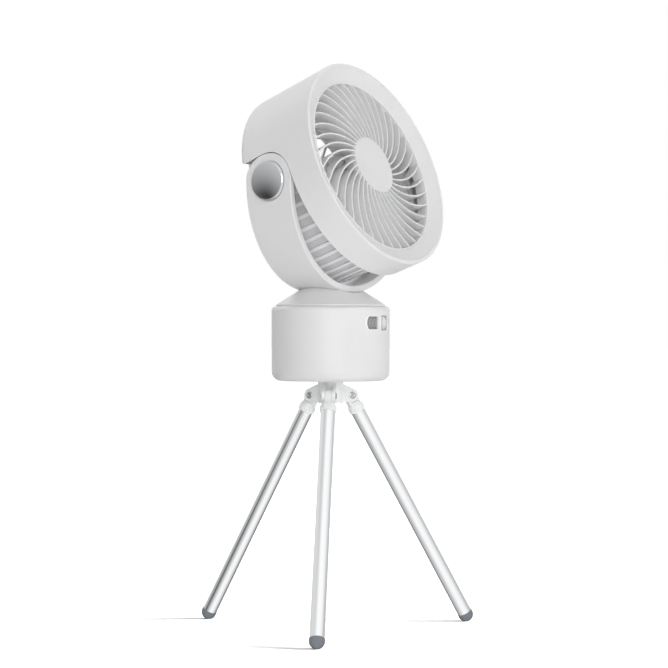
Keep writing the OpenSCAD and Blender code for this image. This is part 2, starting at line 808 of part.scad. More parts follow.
// Solid cone of the neck, drawn d inside its outer face and running on up past the yoke
module neck_solid(d) {
    translate([0, 0, neck_foot_z + neck_edge - d / cos(neck_slope)])
        cylinder(h = neck_foot_r * tan(neck_slope), r1 = neck_foot_r, r2 = 0);
    translate([0, 0, neck_foot_z]) cylinder(h = neck_edge, r = neck_foot_r - d / sin(neck_slope));
}

module neck_cone() {
    front = arm_r + saddle_gap;
    color(paint_white) difference() {
        union() {
            difference() {
                neck_solid(0);
                difference() {
                    neck_solid(neck_wall);
                    // floor, the pivot post's foot and pillars for the yoke's screws
                    translate([0, 0, neck_foot_z - over]) cylinder(h = neck_wall + over, r = neck_foot_r);
                    translate([0, 0, neck_foot_z]) cylinder(h = neck_foot_r, r = post_r);
                    for (s = [-1, 1]) translate([s * neck_screw_x, 0, neck_foot_z])
                        cylinder(h = neck_foot_r, r = neck_pillar_r);
                }
            }
            translate([0, 0, retainer_z]) cylinder(h = neck_foot_z + over - retainer_z, r = post_r);
        }
        // saddle for the yoke band, and relief for the drum when the head is level
        translate([0, front, pivot_z]) rotate([90, 0, 0])
            cylinder(h = 2 * front, r1 = drum_r(-arm_r) + seat_gap, r2 = drum_r(arm_r) + seat_gap);
        for (m = [0, 1]) mirror([0, m, 0]) translate([0, eps - front, pivot_z])
            rotate([90, 0, 0]) cylinder(h = neck_foot_r, r = rim_r + saddle_gap);
        translate([0, 0, retainer_z - over]) cylinder(h = far, r = post_hole_r);
        for (s = [-1, 1]) translate([s * neck_screw_x, 0, yoke_screw_z]) screw(screw_len);
        for (s = [-1, 1]) translate([s * retainer_screw_r, 0, retainer_z])
            cylinder(h = retainer_depth, r = retainer_shank_r);
    }
}

module yoke_screws() {
    color(paint_steel) for (s = [-1, 1]) translate([s * neck_screw_x, 0, yoke_screw_z]) screw(screw_len);
}

module swivel_bush() {
    bush_z = base_top_z - base_wall - bush_flange_t;
    color(paint_dark) {
        ring(post_r + running_fit, post_r + bush_wall_t, bush_z, base_top_z);
        ring(post_r + running_fit, post_r + bush_flange_w, bush_z, base_top_z - base_wall);
    }
}

module swivel_retainer() {
    color(paint_steel) difference() {
        ring(post_hole_r, post_r + retainer_w, retainer_z - retainer_t, retainer_z);
        for (s = [-1, 1]) translate([s * retainer_screw_r, 0, retainer_z - retainer_t - over])
            cylinder(h = retainer_t + 2 * over, r = retainer_shank_r);
    }
}

module retainer_screws() {
    color(paint_steel) for (s = [-1, 1]) translate([s * retainer_screw_r, 0, retainer_z - retainer_t]) {
        cylinder(h = retainer_t + retainer_depth, r = retainer_shank_r);
        translate([0, 0, -retainer_head_t]) cylinder(h = retainer_head_t, r = retainer_head_r);
    }
}

/* ---- Base ---- */

module base_profile(d) {
    r = base_r - d;
    top = base_top_round - d;
    bottom = base_bottom_round - d;
    z0 = base_z + d;
    z1 = base_top_z - d;
    translate([r - top, z1 - top]) intersection() {
        circle(r = top);
        square(top + over);
    }
    translate([r - bottom, z0 + bottom]) intersection() {
        circle(r = bottom);
        translate([0, -bottom - over]) square(bottom + over);
    }
    polygon([
        [0, z0], [r - bottom, z0], [r - bottom, z0 + bottom], [r, z0 + bottom],
        [r, z1 - top], [r - top, z1 - top], [r - top, z1], [0, z1]
    ]);
}

panel_z = base_top_z - panel_drop;
charge_z = base_z + charge_h;
bow_rise = window_bow_r - sqrt(pow(window_bow_r, 2) - pow(window_h / 2, 2));
cover_screw_in = 4;
cover_screw_r = cover_r - cover_screw_in;
cover_post_r = 3;
cover_gap = 0.2;
insert_t = 2;
insert_r = stud_r + insert_t;
insert_h = 9;
insert_wall = 2.4;
rail_w = 2;
rail_room = 3;
rail_x = window_reach + rail_room;
// How far the cuts for the windows and the port start outside the base and end inside it
cut_out = 5;
cut_in = 10;

// Outline of one window seen from the front, grown by g; the outer end is bowed
module window_outline(g) {
    translate([window_strip - g, -window_h / 2 - g])
        square([window_reach - window_strip - bow_rise + g, window_h + 2 * g]);
    intersection() {
        translate([window_reach - window_bow_r, 0]) circle(r = window_bow_r + g);
        translate([window_reach - bow_rise - over, -window_h / 2 - g])
            square([bow_rise + 2 * over, window_h + 2 * g]);
    }
}

// Lays an outline drawn in X and Z on the front of the base, from depth y0 back to y1
module on_front(y0, y1) {
    translate([0, y1 - base_r, panel_z]) rotate([90, 0, 0]) linear_extrude(y1 - y0) children();
}

module base_shell() {
    color(paint_white) difference() {
        rotate_extrude() difference() {
            base_profile(0);
            base_profile(base_wall);
            translate([0, base_z - over]) square([cover_r + cover_gap, base_wall + 2 * over]);
            translate([0, base_top_z - base_wall - over])
                square([post_r + bush_wall_t, base_wall + 2 * over]);
        }
        for (m = [0, 1]) mirror([m, 0, 0]) on_front(-cut_out, cut_in) window_outline(0);
        // opening for the charging port at the back
        translate([0, base_r + cut_out, charge_z]) rotate([90, 0, 0])
            linear_extrude(cut_out + cut_in) port_outline(fit_gap);
    }
    color(paint_white) {
        // long posts for the cover's screws, and rails for the control board
        for (s = [-1, 1]) translate([0, s * cover_screw_r, base_z + cover_t]) difference() {
            cylinder(h = base_h - cover_t - base_wall + eps, r = cover_post_r);
            translate([0, 0, -over]) cylinder(h = screw_len + over, r = screw_r);
        }
        intersection() {
            translate([0, 0, panel_z - window_h / 2]) cylinder(h = window_h, r = base_r - base_wall / 2);
            for (s = [-1, 1]) translate([s * rail_x - rail_w / 2, -base_r, panel_z - window_h / 2])
                cube([rail_w, board_depth, window_h]);
        }
    }
}

module base_cover() {
    color(paint_shade) difference() {
        union() {
            translate([0, 0, base_z]) cylinder(h = cover_t, r = cover_r);
            translate([0, 0, base_z]) cylinder(h = insert_h + over, r = insert_r + insert_wall);
        }
        translate([0, 0, base_z - over]) cylinder(h = insert_h + over, r = insert_r);
        for (s = [-1, 1]) translate([0, s * cover_screw_r, base_z]) rotate([180, 0, 0])
            screw(screw_len);
    }
}

module cover_screws() {
    color(paint_steel) for (s = [-1, 1]) translate([0, s * cover_screw_r, base_z]) rotate([180, 0, 0])
        screw(screw_len);
}

module thread_insert() {
    color(paint_brass) ring(stud_r, insert_r, base_z, base_z + insert_h);
}

module display_window() {
    color(paint_dark) intersection() {
        ring(base_r - window_sink - window_t, base_r - window_sink, base_z, base_top_z);
        mirror([1, 0, 0]) on_front(-cut_out, cut_in) window_outline(-seat_gap);
    }
}

window_t = 1.6;
button_t = 2.6;
button_lip = 0.9;
button_back_r = base_r - window_sink - button_t;

module power_button() {
    // face in the window, and a wider flange behind the wall that keeps it in
    color(paint_white) {
        intersection() {
            ring(button_back_r, base_r - window_sink, base_z, base_top_z);
            on_front(-cut_out, cut_in) window_outline(-button_gap);
        }
        intersection() {
            ring(button_back_r, base_r - base_wall - button_gap, base_z, base_top_z);
            on_front(-cut_out, cut_in) window_outline(button_lip);
        }
    }
}

module control_board() {
    color(paint_green) on_front(board_depth, board_depth + board_t)
        square([2 * rail_x + rail_w, window_h + 2 * rail_w], center = true);
}

switch_w = 6;
switch_t = 2.5;
plunger_r = 1.6;

module tact_switch() {
    // switch under the power button, its plunger just clear of the button's travel
    x = (window_strip + window_reach) / 2;
    back_y = base_r - sqrt(pow(button_back_r, 2) - pow(x + plunger_r, 2));
    color(paint_dark) {
        on_front(board_depth - switch_t, board_depth) translate([x, 0]) square(switch_w, center = true);
        on_front(back_y + button_travel + seat_gap, board_depth - switch_t + eps)
            translate([x, 0]) circle(r = plunger_r);
    }
}

port_half_w = 2.9;
port_r = 1.6;
port_len = 7.4;
port_inset = 0.6;
port_wall = 0.35;

// Round-ended outline of the charging port, grown by g
module port_outline(g) {
    hull() for (s = [-1, 1]) translate([s * port_half_w, 0]) circle(r = port_r + g, $fn = 32);
}

module charge_port() {
    color(paint_steel) translate([0, base_r - port_inset, charge_z]) rotate([90, 0, 0]) difference() {
        linear_extrude(port_len) port_outline(port_wall / 2);
        translate([0, 0, -over]) linear_extrude(port_len) port_outline(-port_wall / 2);
    }
}

tray_gap = 2.5;
tray_z = base_z + insert_h + tray_gap;
tray_foot_r = 2;
tray_foot_at = 18;
cell_z = tray_z + tray_wall + cell_r;

module battery_cells() {
    color([0.25, 0.45, 0.62]) for (i = [0 : cell_count - 1])
        translate([-cell_len / 2, (i - (cell_count - 1) / 2) * cell_pitch, cell_z]) rotate([0, 90, 0])
            cylinder(h = cell_len, r = cell_r);
}

module battery_tray() {
    color(paint_dark) {
        translate([-tray_l / 2, -tray_w / 2, tray_z]) difference() {
            cube([tray_l, tray_w, cell_r + tray_wall]);
            translate([tray_wall, tray_wall, tray_wall])
                cube([tray_l - 2 * tray_wall, tray_w - 2 * tray_wall, 2 * cell_r]);
        }
        round_copies(4, 45) translate([tray_foot_at, 0, base_z + cover_t])
            cylinder(h = tray_z - base_z - cover_t + eps, r = tray_foot_r);
    }
}

/* ---- Tripod ---- */

// Leg k of three: two in front at 60 degrees to the heading and one straight behind
leg_angle = [-150, -30, 90];
module at_leg(k) {
    rotate([0, 0, leg_angle[k - 1]]) translate([hinge_r, 0, hinge_z]) children();
}

// Leg frame: origin on the hinge pin, Z up the leg's axis
module in_leg(k) {
    at_leg(k) rotate([0, -leg_splay, 0]) children();
}

neck_of_crown = 3;
slot_relief = 1.4;
stud_sink = 8;

module cheek_outline() {
    // round end, straight top edge tangent to it that climbs to the post
    peak = [crown_r - hinge_r, hinge_drop - neck_of_crown];
    reach = norm(peak);
    touch = atan2(peak[1], peak[0]) - acos(cheek_r / reach);
    circle(r = cheek_r);
    polygon([
        cheek_r * [cos(touch), sin(touch)], peak, [stud_r - hinge_r, hinge_drop - neck_of_crown],
        [stud_r - hinge_r, -cheek_r], [0, -cheek_r]
    ]);
}

module tripod_crown() {
    color(paint_white) difference() {
        union() {
            translate([0, 0, hinge_z - cheek_r - over])
                cylinder(h = hinge_drop + cheek_r + over, r = crown_r);
            for (k = [1 : 3], s = [-1, 1]) at_leg(k) rotate([90, 0, 0])
                translate([0, 0, s * (slot_w + cheek_t) / 2 - cheek_t / 2])
                    linear_extrude(cheek_t) cheek_outline();
        }
        for (k = [1 : 3]) at_leg(k) {
            rotate([90, 0, 0]) translate([0, 0, -socket_end]) cylinder(h = 2 * socket_end, r = hinge_pin_r);
            translate([-cheek_r - slot_relief / 2, -slot_w / 2, -far])
                cube([far, slot_w, far + cheek_r + slot_relief]);
        }
        translate([0, 0, base_z - stud_sink]) cylinder(h = stud_sink + over, r = stud_r);
    }
}

module tripod_stud() {
    color(paint_steel) translate([0, 0, base_z - stud_sink]) cylinder(h = stud_sink + stud_len, r = stud_r);
}

module hinge_pin(k) {
    half = slot_w / 2 + cheek_t;
    color(paint_steel) at_leg(k) rotate([90, 0, 0]) {
        translate([0, 0, -half]) cylinder(h = 2 * half, r = hinge_pin_r);
        for (s = [0, 1]) mirror([0, 0, s]) translate([0, 0, half])
            cylinder(h = hinge_head_t, r = hinge_head_r);
    }
}

tongue_r = cheek_r - 0.3;
tongue_gap = 0.2;
shoulder = 6.4;
tube_top = 11;

module leg_socket(k) {
    color(paint_shade) in_leg(k) difference() {
        union() {
            rotate([90, 0, 0]) linear_extrude(slot_w - 2 * tongue_gap, center = true) {
                circle(r = tongue_r);
                translate([-tongue_r, -tube_top]) square([2 * tongue_r, tube_top]);
            }
            rotate_extrude() polygon([
                [0, -shoulder], [tongue_r, -shoulder], [socket_r, over - tube_top],
                [socket_r, -socket_end], [0, -socket_end]
            ]);
        }
        translate([0, 0, -socket_end - over]) cylinder(h = socket_end + over - tube_top, r = tube_r);
        rotate([90, 0, 0]) translate([0, 0, -slot_w]) cylinder(h = 2 * slot_w, r = hinge_pin_r + running_fit);
    }
}

tube_end = leg_len - foot_cuff;
foot_plug = 9;

module leg_tube(k) {
    color(paint_steel) in_leg(k) ring(tube_r - tube_wall, tube_r, -tube_end, -tube_top);
}

module rubber_foot(k) {
    color(paint_rubber) intersection() {
        in_leg(k) rotate_extrude() {
            translate([0, -leg_len]) intersection() {
                circle(r = foot_r);
                translate([0, -foot_r]) square([foot_r, foot_r]);
            }
            translate([0, -leg_len]) square([foot_r, foot_cuff]);
            translate([0, -leg_len]) square([tube_r - tube_wall, foot_cuff + foot_plug]);
        }
        translate([-far, -far, 0]) cube([2 * far, 2 * far, far]);
    }
}

head_shell();
front_grille();
hub_cap();
rear_cage();
cage_screws();
motor_stator();
motor_bearings();
motor_rotor();
motor_shaft();
impeller();
impeller_nut();
pivot_pin(-1);  // pivot_pin_left
pivot_pin(1);  // pivot_pin_right
friction_washer(-1);  // friction_washer_left
friction_washer(1);  // friction_washer_right
pivot_bush(-1);  // pivot_bush_left
pivot_bush(1);  // pivot_bush_right
pivot_cap(-1);  // pivot_cap_left
pivot_cap(1);  // pivot_cap_right
yoke_band();
yoke_screws();
neck_cone();
swivel_bush();
swivel_retainer();
retainer_screws();
base_shell();
base_cover();
cover_screws();
display_window();
power_button();
control_board();
tact_switch();
charge_port();
battery_tray();
battery_cells();
thread_insert();
tripod_crown();
tripod_stud();
hinge_pin(1);  // hinge_pin_1
hinge_pin(2);  // hinge_pin_2
hinge_pin(3);  // hinge_pin_3
leg_socket(1);  // leg_socket_1
leg_socket(2);  // leg_socket_2
leg_socket(3);  // leg_socket_3
leg_tube(1);  // leg_tube_1
leg_tube(2);  // leg_tube_2
leg_tube(3);  // leg_tube_3
rubber_foot(1);  // rubber_foot_1
rubber_foot(2);  // rubber_foot_2
rubber_foot(3);  // rubber_foot_3
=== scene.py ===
# Portable camping fan: finishes, small fittings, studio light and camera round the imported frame.
import math

import bpy
from mathutils import Matrix, Vector


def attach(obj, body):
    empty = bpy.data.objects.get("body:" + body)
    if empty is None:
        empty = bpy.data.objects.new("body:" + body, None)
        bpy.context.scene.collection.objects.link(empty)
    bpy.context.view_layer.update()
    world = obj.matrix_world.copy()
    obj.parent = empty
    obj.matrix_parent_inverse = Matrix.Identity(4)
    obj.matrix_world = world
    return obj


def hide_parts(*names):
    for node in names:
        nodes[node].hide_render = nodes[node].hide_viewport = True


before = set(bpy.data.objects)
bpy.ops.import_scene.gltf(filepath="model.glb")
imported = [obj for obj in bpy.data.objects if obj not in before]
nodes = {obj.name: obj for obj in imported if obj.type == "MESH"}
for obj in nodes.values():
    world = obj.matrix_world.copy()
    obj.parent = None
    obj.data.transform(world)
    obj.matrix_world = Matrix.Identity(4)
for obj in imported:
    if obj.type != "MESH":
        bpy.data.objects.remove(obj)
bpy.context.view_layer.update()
bpy.ops.object.select_all(action="DESELECT")
print("frame loaded:", len(nodes), "nodes")

mm = 0.001
noiseRange = (0.3, 0.7)  # where the values of Blender's noise mostly lie
lineRange = (0.25, 0.75)  # the same for the hair lines in metal, which have more contrast
grainDepth = 0.2  # of the grain's own size
hairLineDepth = 0.05 * mm


def toLinear(hexColour):
    channels = [int(hexColour[i : i + 2], 16) / 255 for i in (1, 3, 5)]
    linear = [c / 12.92 if c <= 0.04045 else ((c + 0.055) / 1.055) ** 2.4 for c in channels]
    return (*linear, 1)


def addNode(material, kind, values=None, links=None, **settings):
    # one shader node with its settings, socket values and incoming links
    tree = material.node_tree
    node = tree.nodes.new("ShaderNode" + kind)
    for name, value in settings.items():
        setattr(node, name, value)
    for socket, value in (values or {}).items():
        node.inputs[socket].default_value = value
    for socket, source in (links or {}).items():
        tree.links.new(source, node.inputs[socket])
    return node


def newMaterial(name, constants):
    material = bpy.data.materials.new(name)
    material.use_nodes = True
    shader = material.node_tree.nodes["Principled BSDF"]
    for socket, value in constants.items():
        shader.inputs[socket].default_value = value
    return material, shader


def setRamp(ramp, stops):
    # stops are (place, colour) pairs
    elements = ramp.color_ramp.elements
    while len(elements) > len(stops):
        elements.remove(elements[-1])
    for i, (place, colour) in enumerate(stops):
        element = elements[i] if i < len(elements) else elements.new(place)
        element.position = place
        element.color = colour


def patternPlace(material, size, turn=(0, 0, 0), centre=(0, 0, 0)):
    # Object coordinates turned to the piece's own axes and divided by a real size in metres
    place = addNode(material, "TexCoord")
    return addNode(
        material,
        "Mapping",
        {"Location": centre, "Rotation": turn, "Scale": size},
        {"Vector": place.outputs["Object"]},
        vector_type="TEXTURE",
    ).outputs["Vector"]


def finishTree(material, shader, look, tone, pattern, depth):
    # the pattern makes the gloss wander and the surface rise and fall
    least, most = look["roughness"] - look["spread"], look["roughness"] + look["spread"]
    gloss = addNode(
        material,
        "MapRange",
        {"From Min": noiseRange[0], "From Max": noiseRange[1], "To Min": least, "To Max": most},
        {"Value": pattern.outputs["Fac"]},
    )
    bump = addNode(
        material,
        "Bump",
        {"Strength": look["bump"], "Distance": depth},
        {"Height": pattern.outputs["Fac"]},
    )
    links = material.node_tree.links
    links.new(tone.outputs["Color"], shader.inputs["Base Color"])
    links.new(gloss.outputs["Result"], shader.inputs["Roughness"])
    links.new(bump.outputs["Normal"], shader.inputs["Normal"])
    return material


def mouldedPlastic(name, look):
    # moulded from a spark-eroded mould: an even satin with a fine grain, and a hardly visible
    # drift of tone where the melt flowed
    material, shader = newMaterial(name, {"Metallic": 0, "IOR": 1.5})
    grain = addNode(
        material,
        "TexNoise",
        {"Scale": 1, "Detail": 3, "Roughness": 0.55},
        {"Vector": patternPlace(material, (look["grain"],) * 3)},
    )
    drift = addNode(
        material,
        "TexNoise",
        {"Scale": 1, "Detail": 2},
        {"Vector": patternPlace(material, (look["drift"],) * 3)},
    )
    tone = addNode(material, "ValToRGB", links={"Fac": drift.outputs["Fac"]})
    colours = (toLinear(look["shade"]), toLinear(look["colour"]))
    setRamp(tone, list(zip(noiseRange, colours)))
    return finishTree(material, shader, look, tone, grain, look["grain"] * grainDepth)


drum = {"pivot": (0, 0, 363.002 * mm), "tilt": 20.5}
# the cage's recess tone is painted shade on the floors between its bars
cage = {"radius": 76.54 * mm, "edge": 0.6 * mm, "floor": 1.8 * mm, "paintedRecessShade": "#D3D3D5"}


def shadeRecess(material):
    # the recess floors between the cage's bars are painted a shade darker: painted shade in the recesses
    tree = material.node_tree
    shader = tree.nodes["Principled BSDF"]
    plain = shader.inputs["Base Color"].links[0].from_socket
    turn = (math.radians(90 - drum["tilt"]), 0, 0)
    along = patternPlace(material, (1, 1, 1), turn, drum["pivot"])
    across = addNode(material, "VectorMath", {1: (1, 1, 0)}, {0: along}, operation="MULTIPLY")
    radius = addNode(material, "VectorMath", links={0: across.outputs["Vector"]}, operation="LENGTH")
    away = radius.outputs["Value"]
    barFace, recessFloor = cage["radius"] - cage["edge"], cage["radius"] - cage["floor"]
    outer = addNode(material, "Math", {1: barFace}, {0: away}, operation="LESS_THAN")
    inner = addNode(material, "Math", {1: recessFloor}, {0: away}, operation="GREATER_THAN")
    between = {0: outer.outputs[0], 1: inner.outputs[0]}
    both = addNode(material, "Math", links=between, operation="MULTIPLY")
    mixed = {0: both.outputs[0], 6: plain}
    # painted shade: the recess floors take the darker tone
    tone = addNode(material, "Mix", {7: toLinear(cage["paintedRecessShade"])}, mixed, data_type="RGBA")
    tree.links.new(tone.outputs[2], shader.inputs["Base Color"])


def workedMetal(name, look, turn=(0, 0, 0), centre=(0, 0, 0)):
    # drawn, turned or rolled metal: hair lines run the long way of the pattern and break the gloss
    material, shader = newMaterial(name, {"Metallic": 1})
    lines = addNode(
        material,
        "TexNoise",
        {"Scale": 1, "Detail": 4, "Roughness": 0.6},
        {"Vector": patternPlace(material, look["lines"], turn, centre)},
    )
    tone = addNode(material, "ValToRGB", links={"Fac": lines.outputs["Fac"]})
    colours = (toLinear(look["shade"]), toLinear(look["colour"]))
    setRamp(tone, list(zip(lineRange, colours)))
    return finishTree(material, shader, look, tone, lines, hairLineDepth)


def plasticLook(colour, shade, roughness, grain, drift, bump, spread=0.04):
    # grain and drift are sizes in millimetres; the grain is coarser than a real one, so that it shows
    return {
        "colour": colour,
        "shade": shade,
        "roughness": roughness,
        "spread": spread,
        "grain": grain * mm,
        "drift": drift * mm,
        "bump": bump,
    }


def metalLook(colour, shade, roughness, spread, lines, bump):
    # lines is the size of a hair line along X, Y and Z in millimetres, also coarser than a real one
    return {
        "colour": colour,
        "shade": shade,
        "roughness": roughness,
        "spread": spread,
        "lines": tuple(size * mm for size in lines),
        "bump": bump,
    }


shellLook = plasticLook("#EAEAEA", "#E7E7E7", 0.42, 0.45, 40, 0.10)  # moulded ABS: an even, soft satin
grillePaintedShadeLook = plasticLook("#E4E4E4", "#E2E2E2", 0.38, 0.4, 30, 0.08)  # the same ABS from a finer mould, painted a shade darker than the shell: painted shade on the front
cagePaintedLightLook = plasticLook("#F1F1F2", "#EDEDEE", 0.45, 0.4, 30, 0.08)  # ABS from a plain mould, duller, and painted lighter than the shell: painted light where the head shadows the cage
nylonLook = plasticLook("#F4F5F5", "#F0F1F1", 0.36, 0.3, 12, 0.10)  # moulded nylon: white, slightly waxy
rubberLook = plasticLook("#7F858B", "#787E84", 0.62, 0.35, 5, 0.25)  # moulded rubber: dull, no highlight
sealGapShadeLook = plasticLook("#8E9194", "#87898D", 0.55, 0.35, 5, 0.15)  # soft rubber with a thin skin; its grey is also painted shade for the gap round the button
acetalLook = plasticLook("#34363A", "#2C2E31", 0.4, 0.3, 8, 0.05)  # black acetal: a dark, waxy satin
sleeveLook = plasticLook("#3F6F9C", "#376490", 0.25, 1.2, 20, 0.05)  # shrink film: tight and glossy
maskLook = plasticLook("#1F5A38", "#184A2E", 0.35, 0.6, 4, 0.15)  # solder mask: a green lacquer
anodisedLook = metalLook("#F6F7F8", "#EFF0F1", 0.17, 0.03, (0.35, 0.35, 30), 0.04)  # drawn tube: bright
capLook = metalLook("#D2D3D5", "#CDCED0", 0.08, 0.02, (12, 0.5, 0.5), 0.01)  # buffed chrome: a mirror
rivetLook = metalLook("#C6C8CA", "#BABCBF", 0.24, 0.04, (0.4, 0.4, 0.4), 0.04)  # headed steel
highlightLensLook = plasticLook("#FBFBFB", "#F8F8F8", 0.16, 0.6, 8, 0.02)  # polished plastic: a hard gloss, whiter than the shell as a painted highlight on the display's trim and the strip
segmentLook = plasticLook("#A8A8A9", "#A2A2A3", 0.35, 0.3, 4, 0.02)  # flat grey print
zincLook = metalLook("#B9BBBE", "#A6A8AC", 0.3, 0.06, (0.6, 0.6, 0.6), 0.08)  # zinc plate: cloudy
brassLook = metalLook("#C9A75C", "#B8954B", 0.28, 0.05, (2, 2, 0.2), 0.1)  # turning lines
copperLook = metalLook("#B5652F", "#8F4A1F", 0.35, 0.06, (3, 0.4, 0.4), 0.4)  # enamelled wire
windowLook = {"colour": "#939394", "shade": "#8A8A8B", "roughness": 0.12, "haze": 1.2 * mm}

tripod = {
    "angles": (-150, -30, 90),  # where each leg stands round the base, in degrees
    "splay": 30.3,
    "hingeRadius": 17.3 * mm,
    "hingeHeight": 191.58 * mm,
}

whiteAbs = mouldedPlastic("mouldedWhiteAbs", shellLook)
grilleAbsPaintedShade = mouldedPlastic("mouldedGrilleAbsPaintedShade", grillePaintedShadeLook)
cageAbsPaintedLightAndShade = mouldedPlastic("mouldedCageAbsPaintedLightAndShade", cagePaintedLightLook)
shadeRecess(cageAbsPaintedLightAndShade)
tripodNylon = mouldedPlastic("mouldedNylon", nylonLook)
footRubber = mouldedPlastic("mouldedRubber", rubberLook)
blackAcetal = mouldedPlastic("turnedAcetal", acetalLook)
cellSleeve = mouldedPlastic("shrinkSleeve", sleeveLook)
boardMask = mouldedPlastic("solderMask", maskLook)
plainZinc = workedMetal("zincPlatedSteel", zincLook)
turnedBrass = workedMetal("turnedBrass", brassLook)
enamelCopper = workedMetal("enamelledCopper", copperLook)
darkChrome = workedMetal("polishedDarkChrome", capLook)


def legMetal(k):
    # drawn and anodised tube, with its hair lines along the leg
    angle = math.radians(tripod["angles"][k])
    out = tripod["hingeRadius"]
    hinge = (out * math.cos(angle), out * math.sin(angle), tripod["hingeHeight"])
    turn = (0, -math.radians(tripod["splay"]), angle)
    return workedMetal(f"anodisedTube{k + 1}", anodisedLook, turn, hinge)


def smokedAcrylic(name, look):
    # smoke-tinted acrylic over an unlit display: grey, with a hard gloss
    material, shader = newMaterial(name, {"Metallic": 0, "IOR": 1.49, "Roughness": look["roughness"]})
    place = patternPlace(material, (look["haze"],) * 3)
    haze = addNode(material, "TexNoise", {"Scale": 1, "Detail": 2}, {"Vector": place})
    tone = addNode(material, "ValToRGB", links={"Fac": haze.outputs["Fac"]})
    colours = (toLinear(look["shade"]), toLinear(look["colour"]))
    setRamp(tone, list(zip(noiseRange, colours)))
    material.node_tree.links.new(tone.outputs["Color"], shader.inputs["Base Color"])
    return material


smokedWindow = smokedAcrylic("smokedAcrylic", windowLook)
rivetSteel = workedMetal("headedSteel", rivetLook)
highlightWhite = mouldedPlastic("highlightWhiteLens", highlightLensLook)
sealRubberGapShade = mouldedPlastic("sealRubberGapShade", sealGapShadeLook)
unlitSegment = mouldedPlastic("unlitSegment", segmentLook)

finishes = {
    "head_shell": whiteAbs,
    "front_grille": grilleAbsPaintedShade,
    "hub_cap": grilleAbsPaintedShade,
    "rear_cage": cageAbsPaintedLightAndShade,
    "cage_screws": plainZinc,
    "motor_stator": enamelCopper,
    "motor_bearings": plainZinc,
    "motor_rotor": plainZinc,
    "motor_shaft": plainZinc,
    "impeller": grilleAbsPaintedShade,
    "impeller_nut": turnedBrass,
    "yoke_band": whiteAbs,
    "yoke_screws": plainZinc,
    "neck_cone": whiteAbs,
    "swivel_bush": blackAcetal,
    "swivel_retainer": plainZinc,
    "retainer_screws": plainZinc,
    "base_shell": whiteAbs,
    "base_cover": whiteAbs,
    "cover_screws": plainZinc,
    "display_window": smokedWindow,
    "power_button": whiteAbs,
    "control_board": boardMask,
    "tact_switch": blackAcetal,
    "charge_port": plainZinc,
    "battery_tray": blackAcetal,
    "battery_cells": cellSleeve,
    "thread_insert": turnedBrass,
    "tripod_crown": tripodNylon,
    "tripod_stud": plainZinc,
}
for side in ("left", "right"):
    finishes[f"pivot_pin_{side}"] = plainZinc
    finishes[f"friction_washer_{side}"] = blackAcetal
    finishes[f"pivot_bush_{side}"] = blackAcetal
    finishes[f"pivot_cap_{side}"] = darkChrome
for k in (1, 2, 3):
    finishes[f"hinge_pin_{k}"] = plainZinc
    finishes[f"leg_socket_{k}"] = tripodNylon
    finishes[f"leg_tube_{k}"] = legMetal(k - 1)
    finishes[f"rubber_foot_{k}"] = footRubber

for name, material in finishes.items():
    nodes[name].data.materials.clear()
    nodes[name].data.materials.append(material)
print("finishes on", len(finishes), "of", len(nodes), "nodes")


def drawOutline(name, points, closed=False):
    # an outline drawn by extruding one vertex from point to point, in millimetres
    bpy.ops.object.select_all(action="DESELECT")
    bpy.ops.mesh.primitive_plane_add(size=mm)
    piece = bpy.context.object
    piece.name = piece.data.name = name
    bpy.ops.object.mode_set(mode="EDIT")
    bpy.ops.mesh.select_all(action="SELECT")
    bpy.ops.mesh.merge(type="CENTER")
    spots = [Vector(point) * mm for point in points]
    bpy.ops.transform.translate(value=spots[0])
    for here, there in zip(spots, spots[1:]):
        bpy.ops.mesh.extrude_vertices_move(TRANSFORM_OT_translate={"value": there - here})
    bpy.ops.mesh.select_all(action="SELECT")
    if closed:
        bpy.ops.mesh.edge_face_add()
    return piece


def tidyMesh():
    bpy.ops.mesh.select_all(action="SELECT")
    bpy.ops.mesh.remove_doubles(threshold=0.001 * mm)
    bpy.ops.mesh.normals_make_consistent(inside=False)
    bpy.ops.object.mode_set(mode="OBJECT")


def turnPiece(name, profile, steps=64):
    # turned about Z from a half section of (radius, height) points
    piece = drawOutline(name, [(radius, 0, height) for radius, height in profile])
    bpy.ops.mesh.spin(steps=steps, angle=2 * math.pi, center=(0, 0, 0), axis=(0, 0, 1))
    tidyMesh()
    return piece


def cutPlate(name, points, depth):
    # a flat outline in X and Z, as thick as depth along Y and centred on it
    piece = drawOutline(name, [(x, -depth / 2, z) for x, z in points], closed=True)
    bpy.ops.mesh.extrude_region_move(TRANSFORM_OT_translate={"value": (0, depth * mm, 0)})
    tidyMesh()
    return piece


def combine(piece, tool, operation):
    # joins, cuts or trims the piece with a tool that is used up
    boolean = piece.modifiers.new("fit", "BOOLEAN")
    boolean.operation = operation
    boolean.solver = "EXACT"
    boolean.object = tool
    bpy.context.view_layer.objects.active = piece
    bpy.ops.object.modifier_apply(modifier=boolean.name)
    bpy.data.objects.remove(tool)


def softenEdges(piece, width):
    # a small round on every edge sharper than 30 degrees
    bevel = piece.modifiers.new("soften", "BEVEL")
    bevel.width = width * mm
    bevel.segments = 2
    bevel.limit_method = "ANGLE"
    bevel.angle_limit = math.radians(30)
    bpy.context.view_layer.objects.active = piece
    bpy.ops.object.modifier_apply(modifier=bevel.name)


def placePiece(piece, place):
    # moves the mesh itself to its place
    bpy.ops.object.select_all(action="DESELECT")
    piece.select_set(True)
    bpy.context.view_layer.objects.active = piece
    piece.matrix_world = place
    bpy.ops.object.transform_apply(location=True, rotation=True, scale=True)


def joinPieces(pieces):
    bpy.ops.object.select_all(action="DESELECT")
    for piece in pieces:
        piece.select_set(True)
    bpy.context.view_layer.objects.active = pieces[0]
    bpy.ops.object.join()
    return bpy.context.object


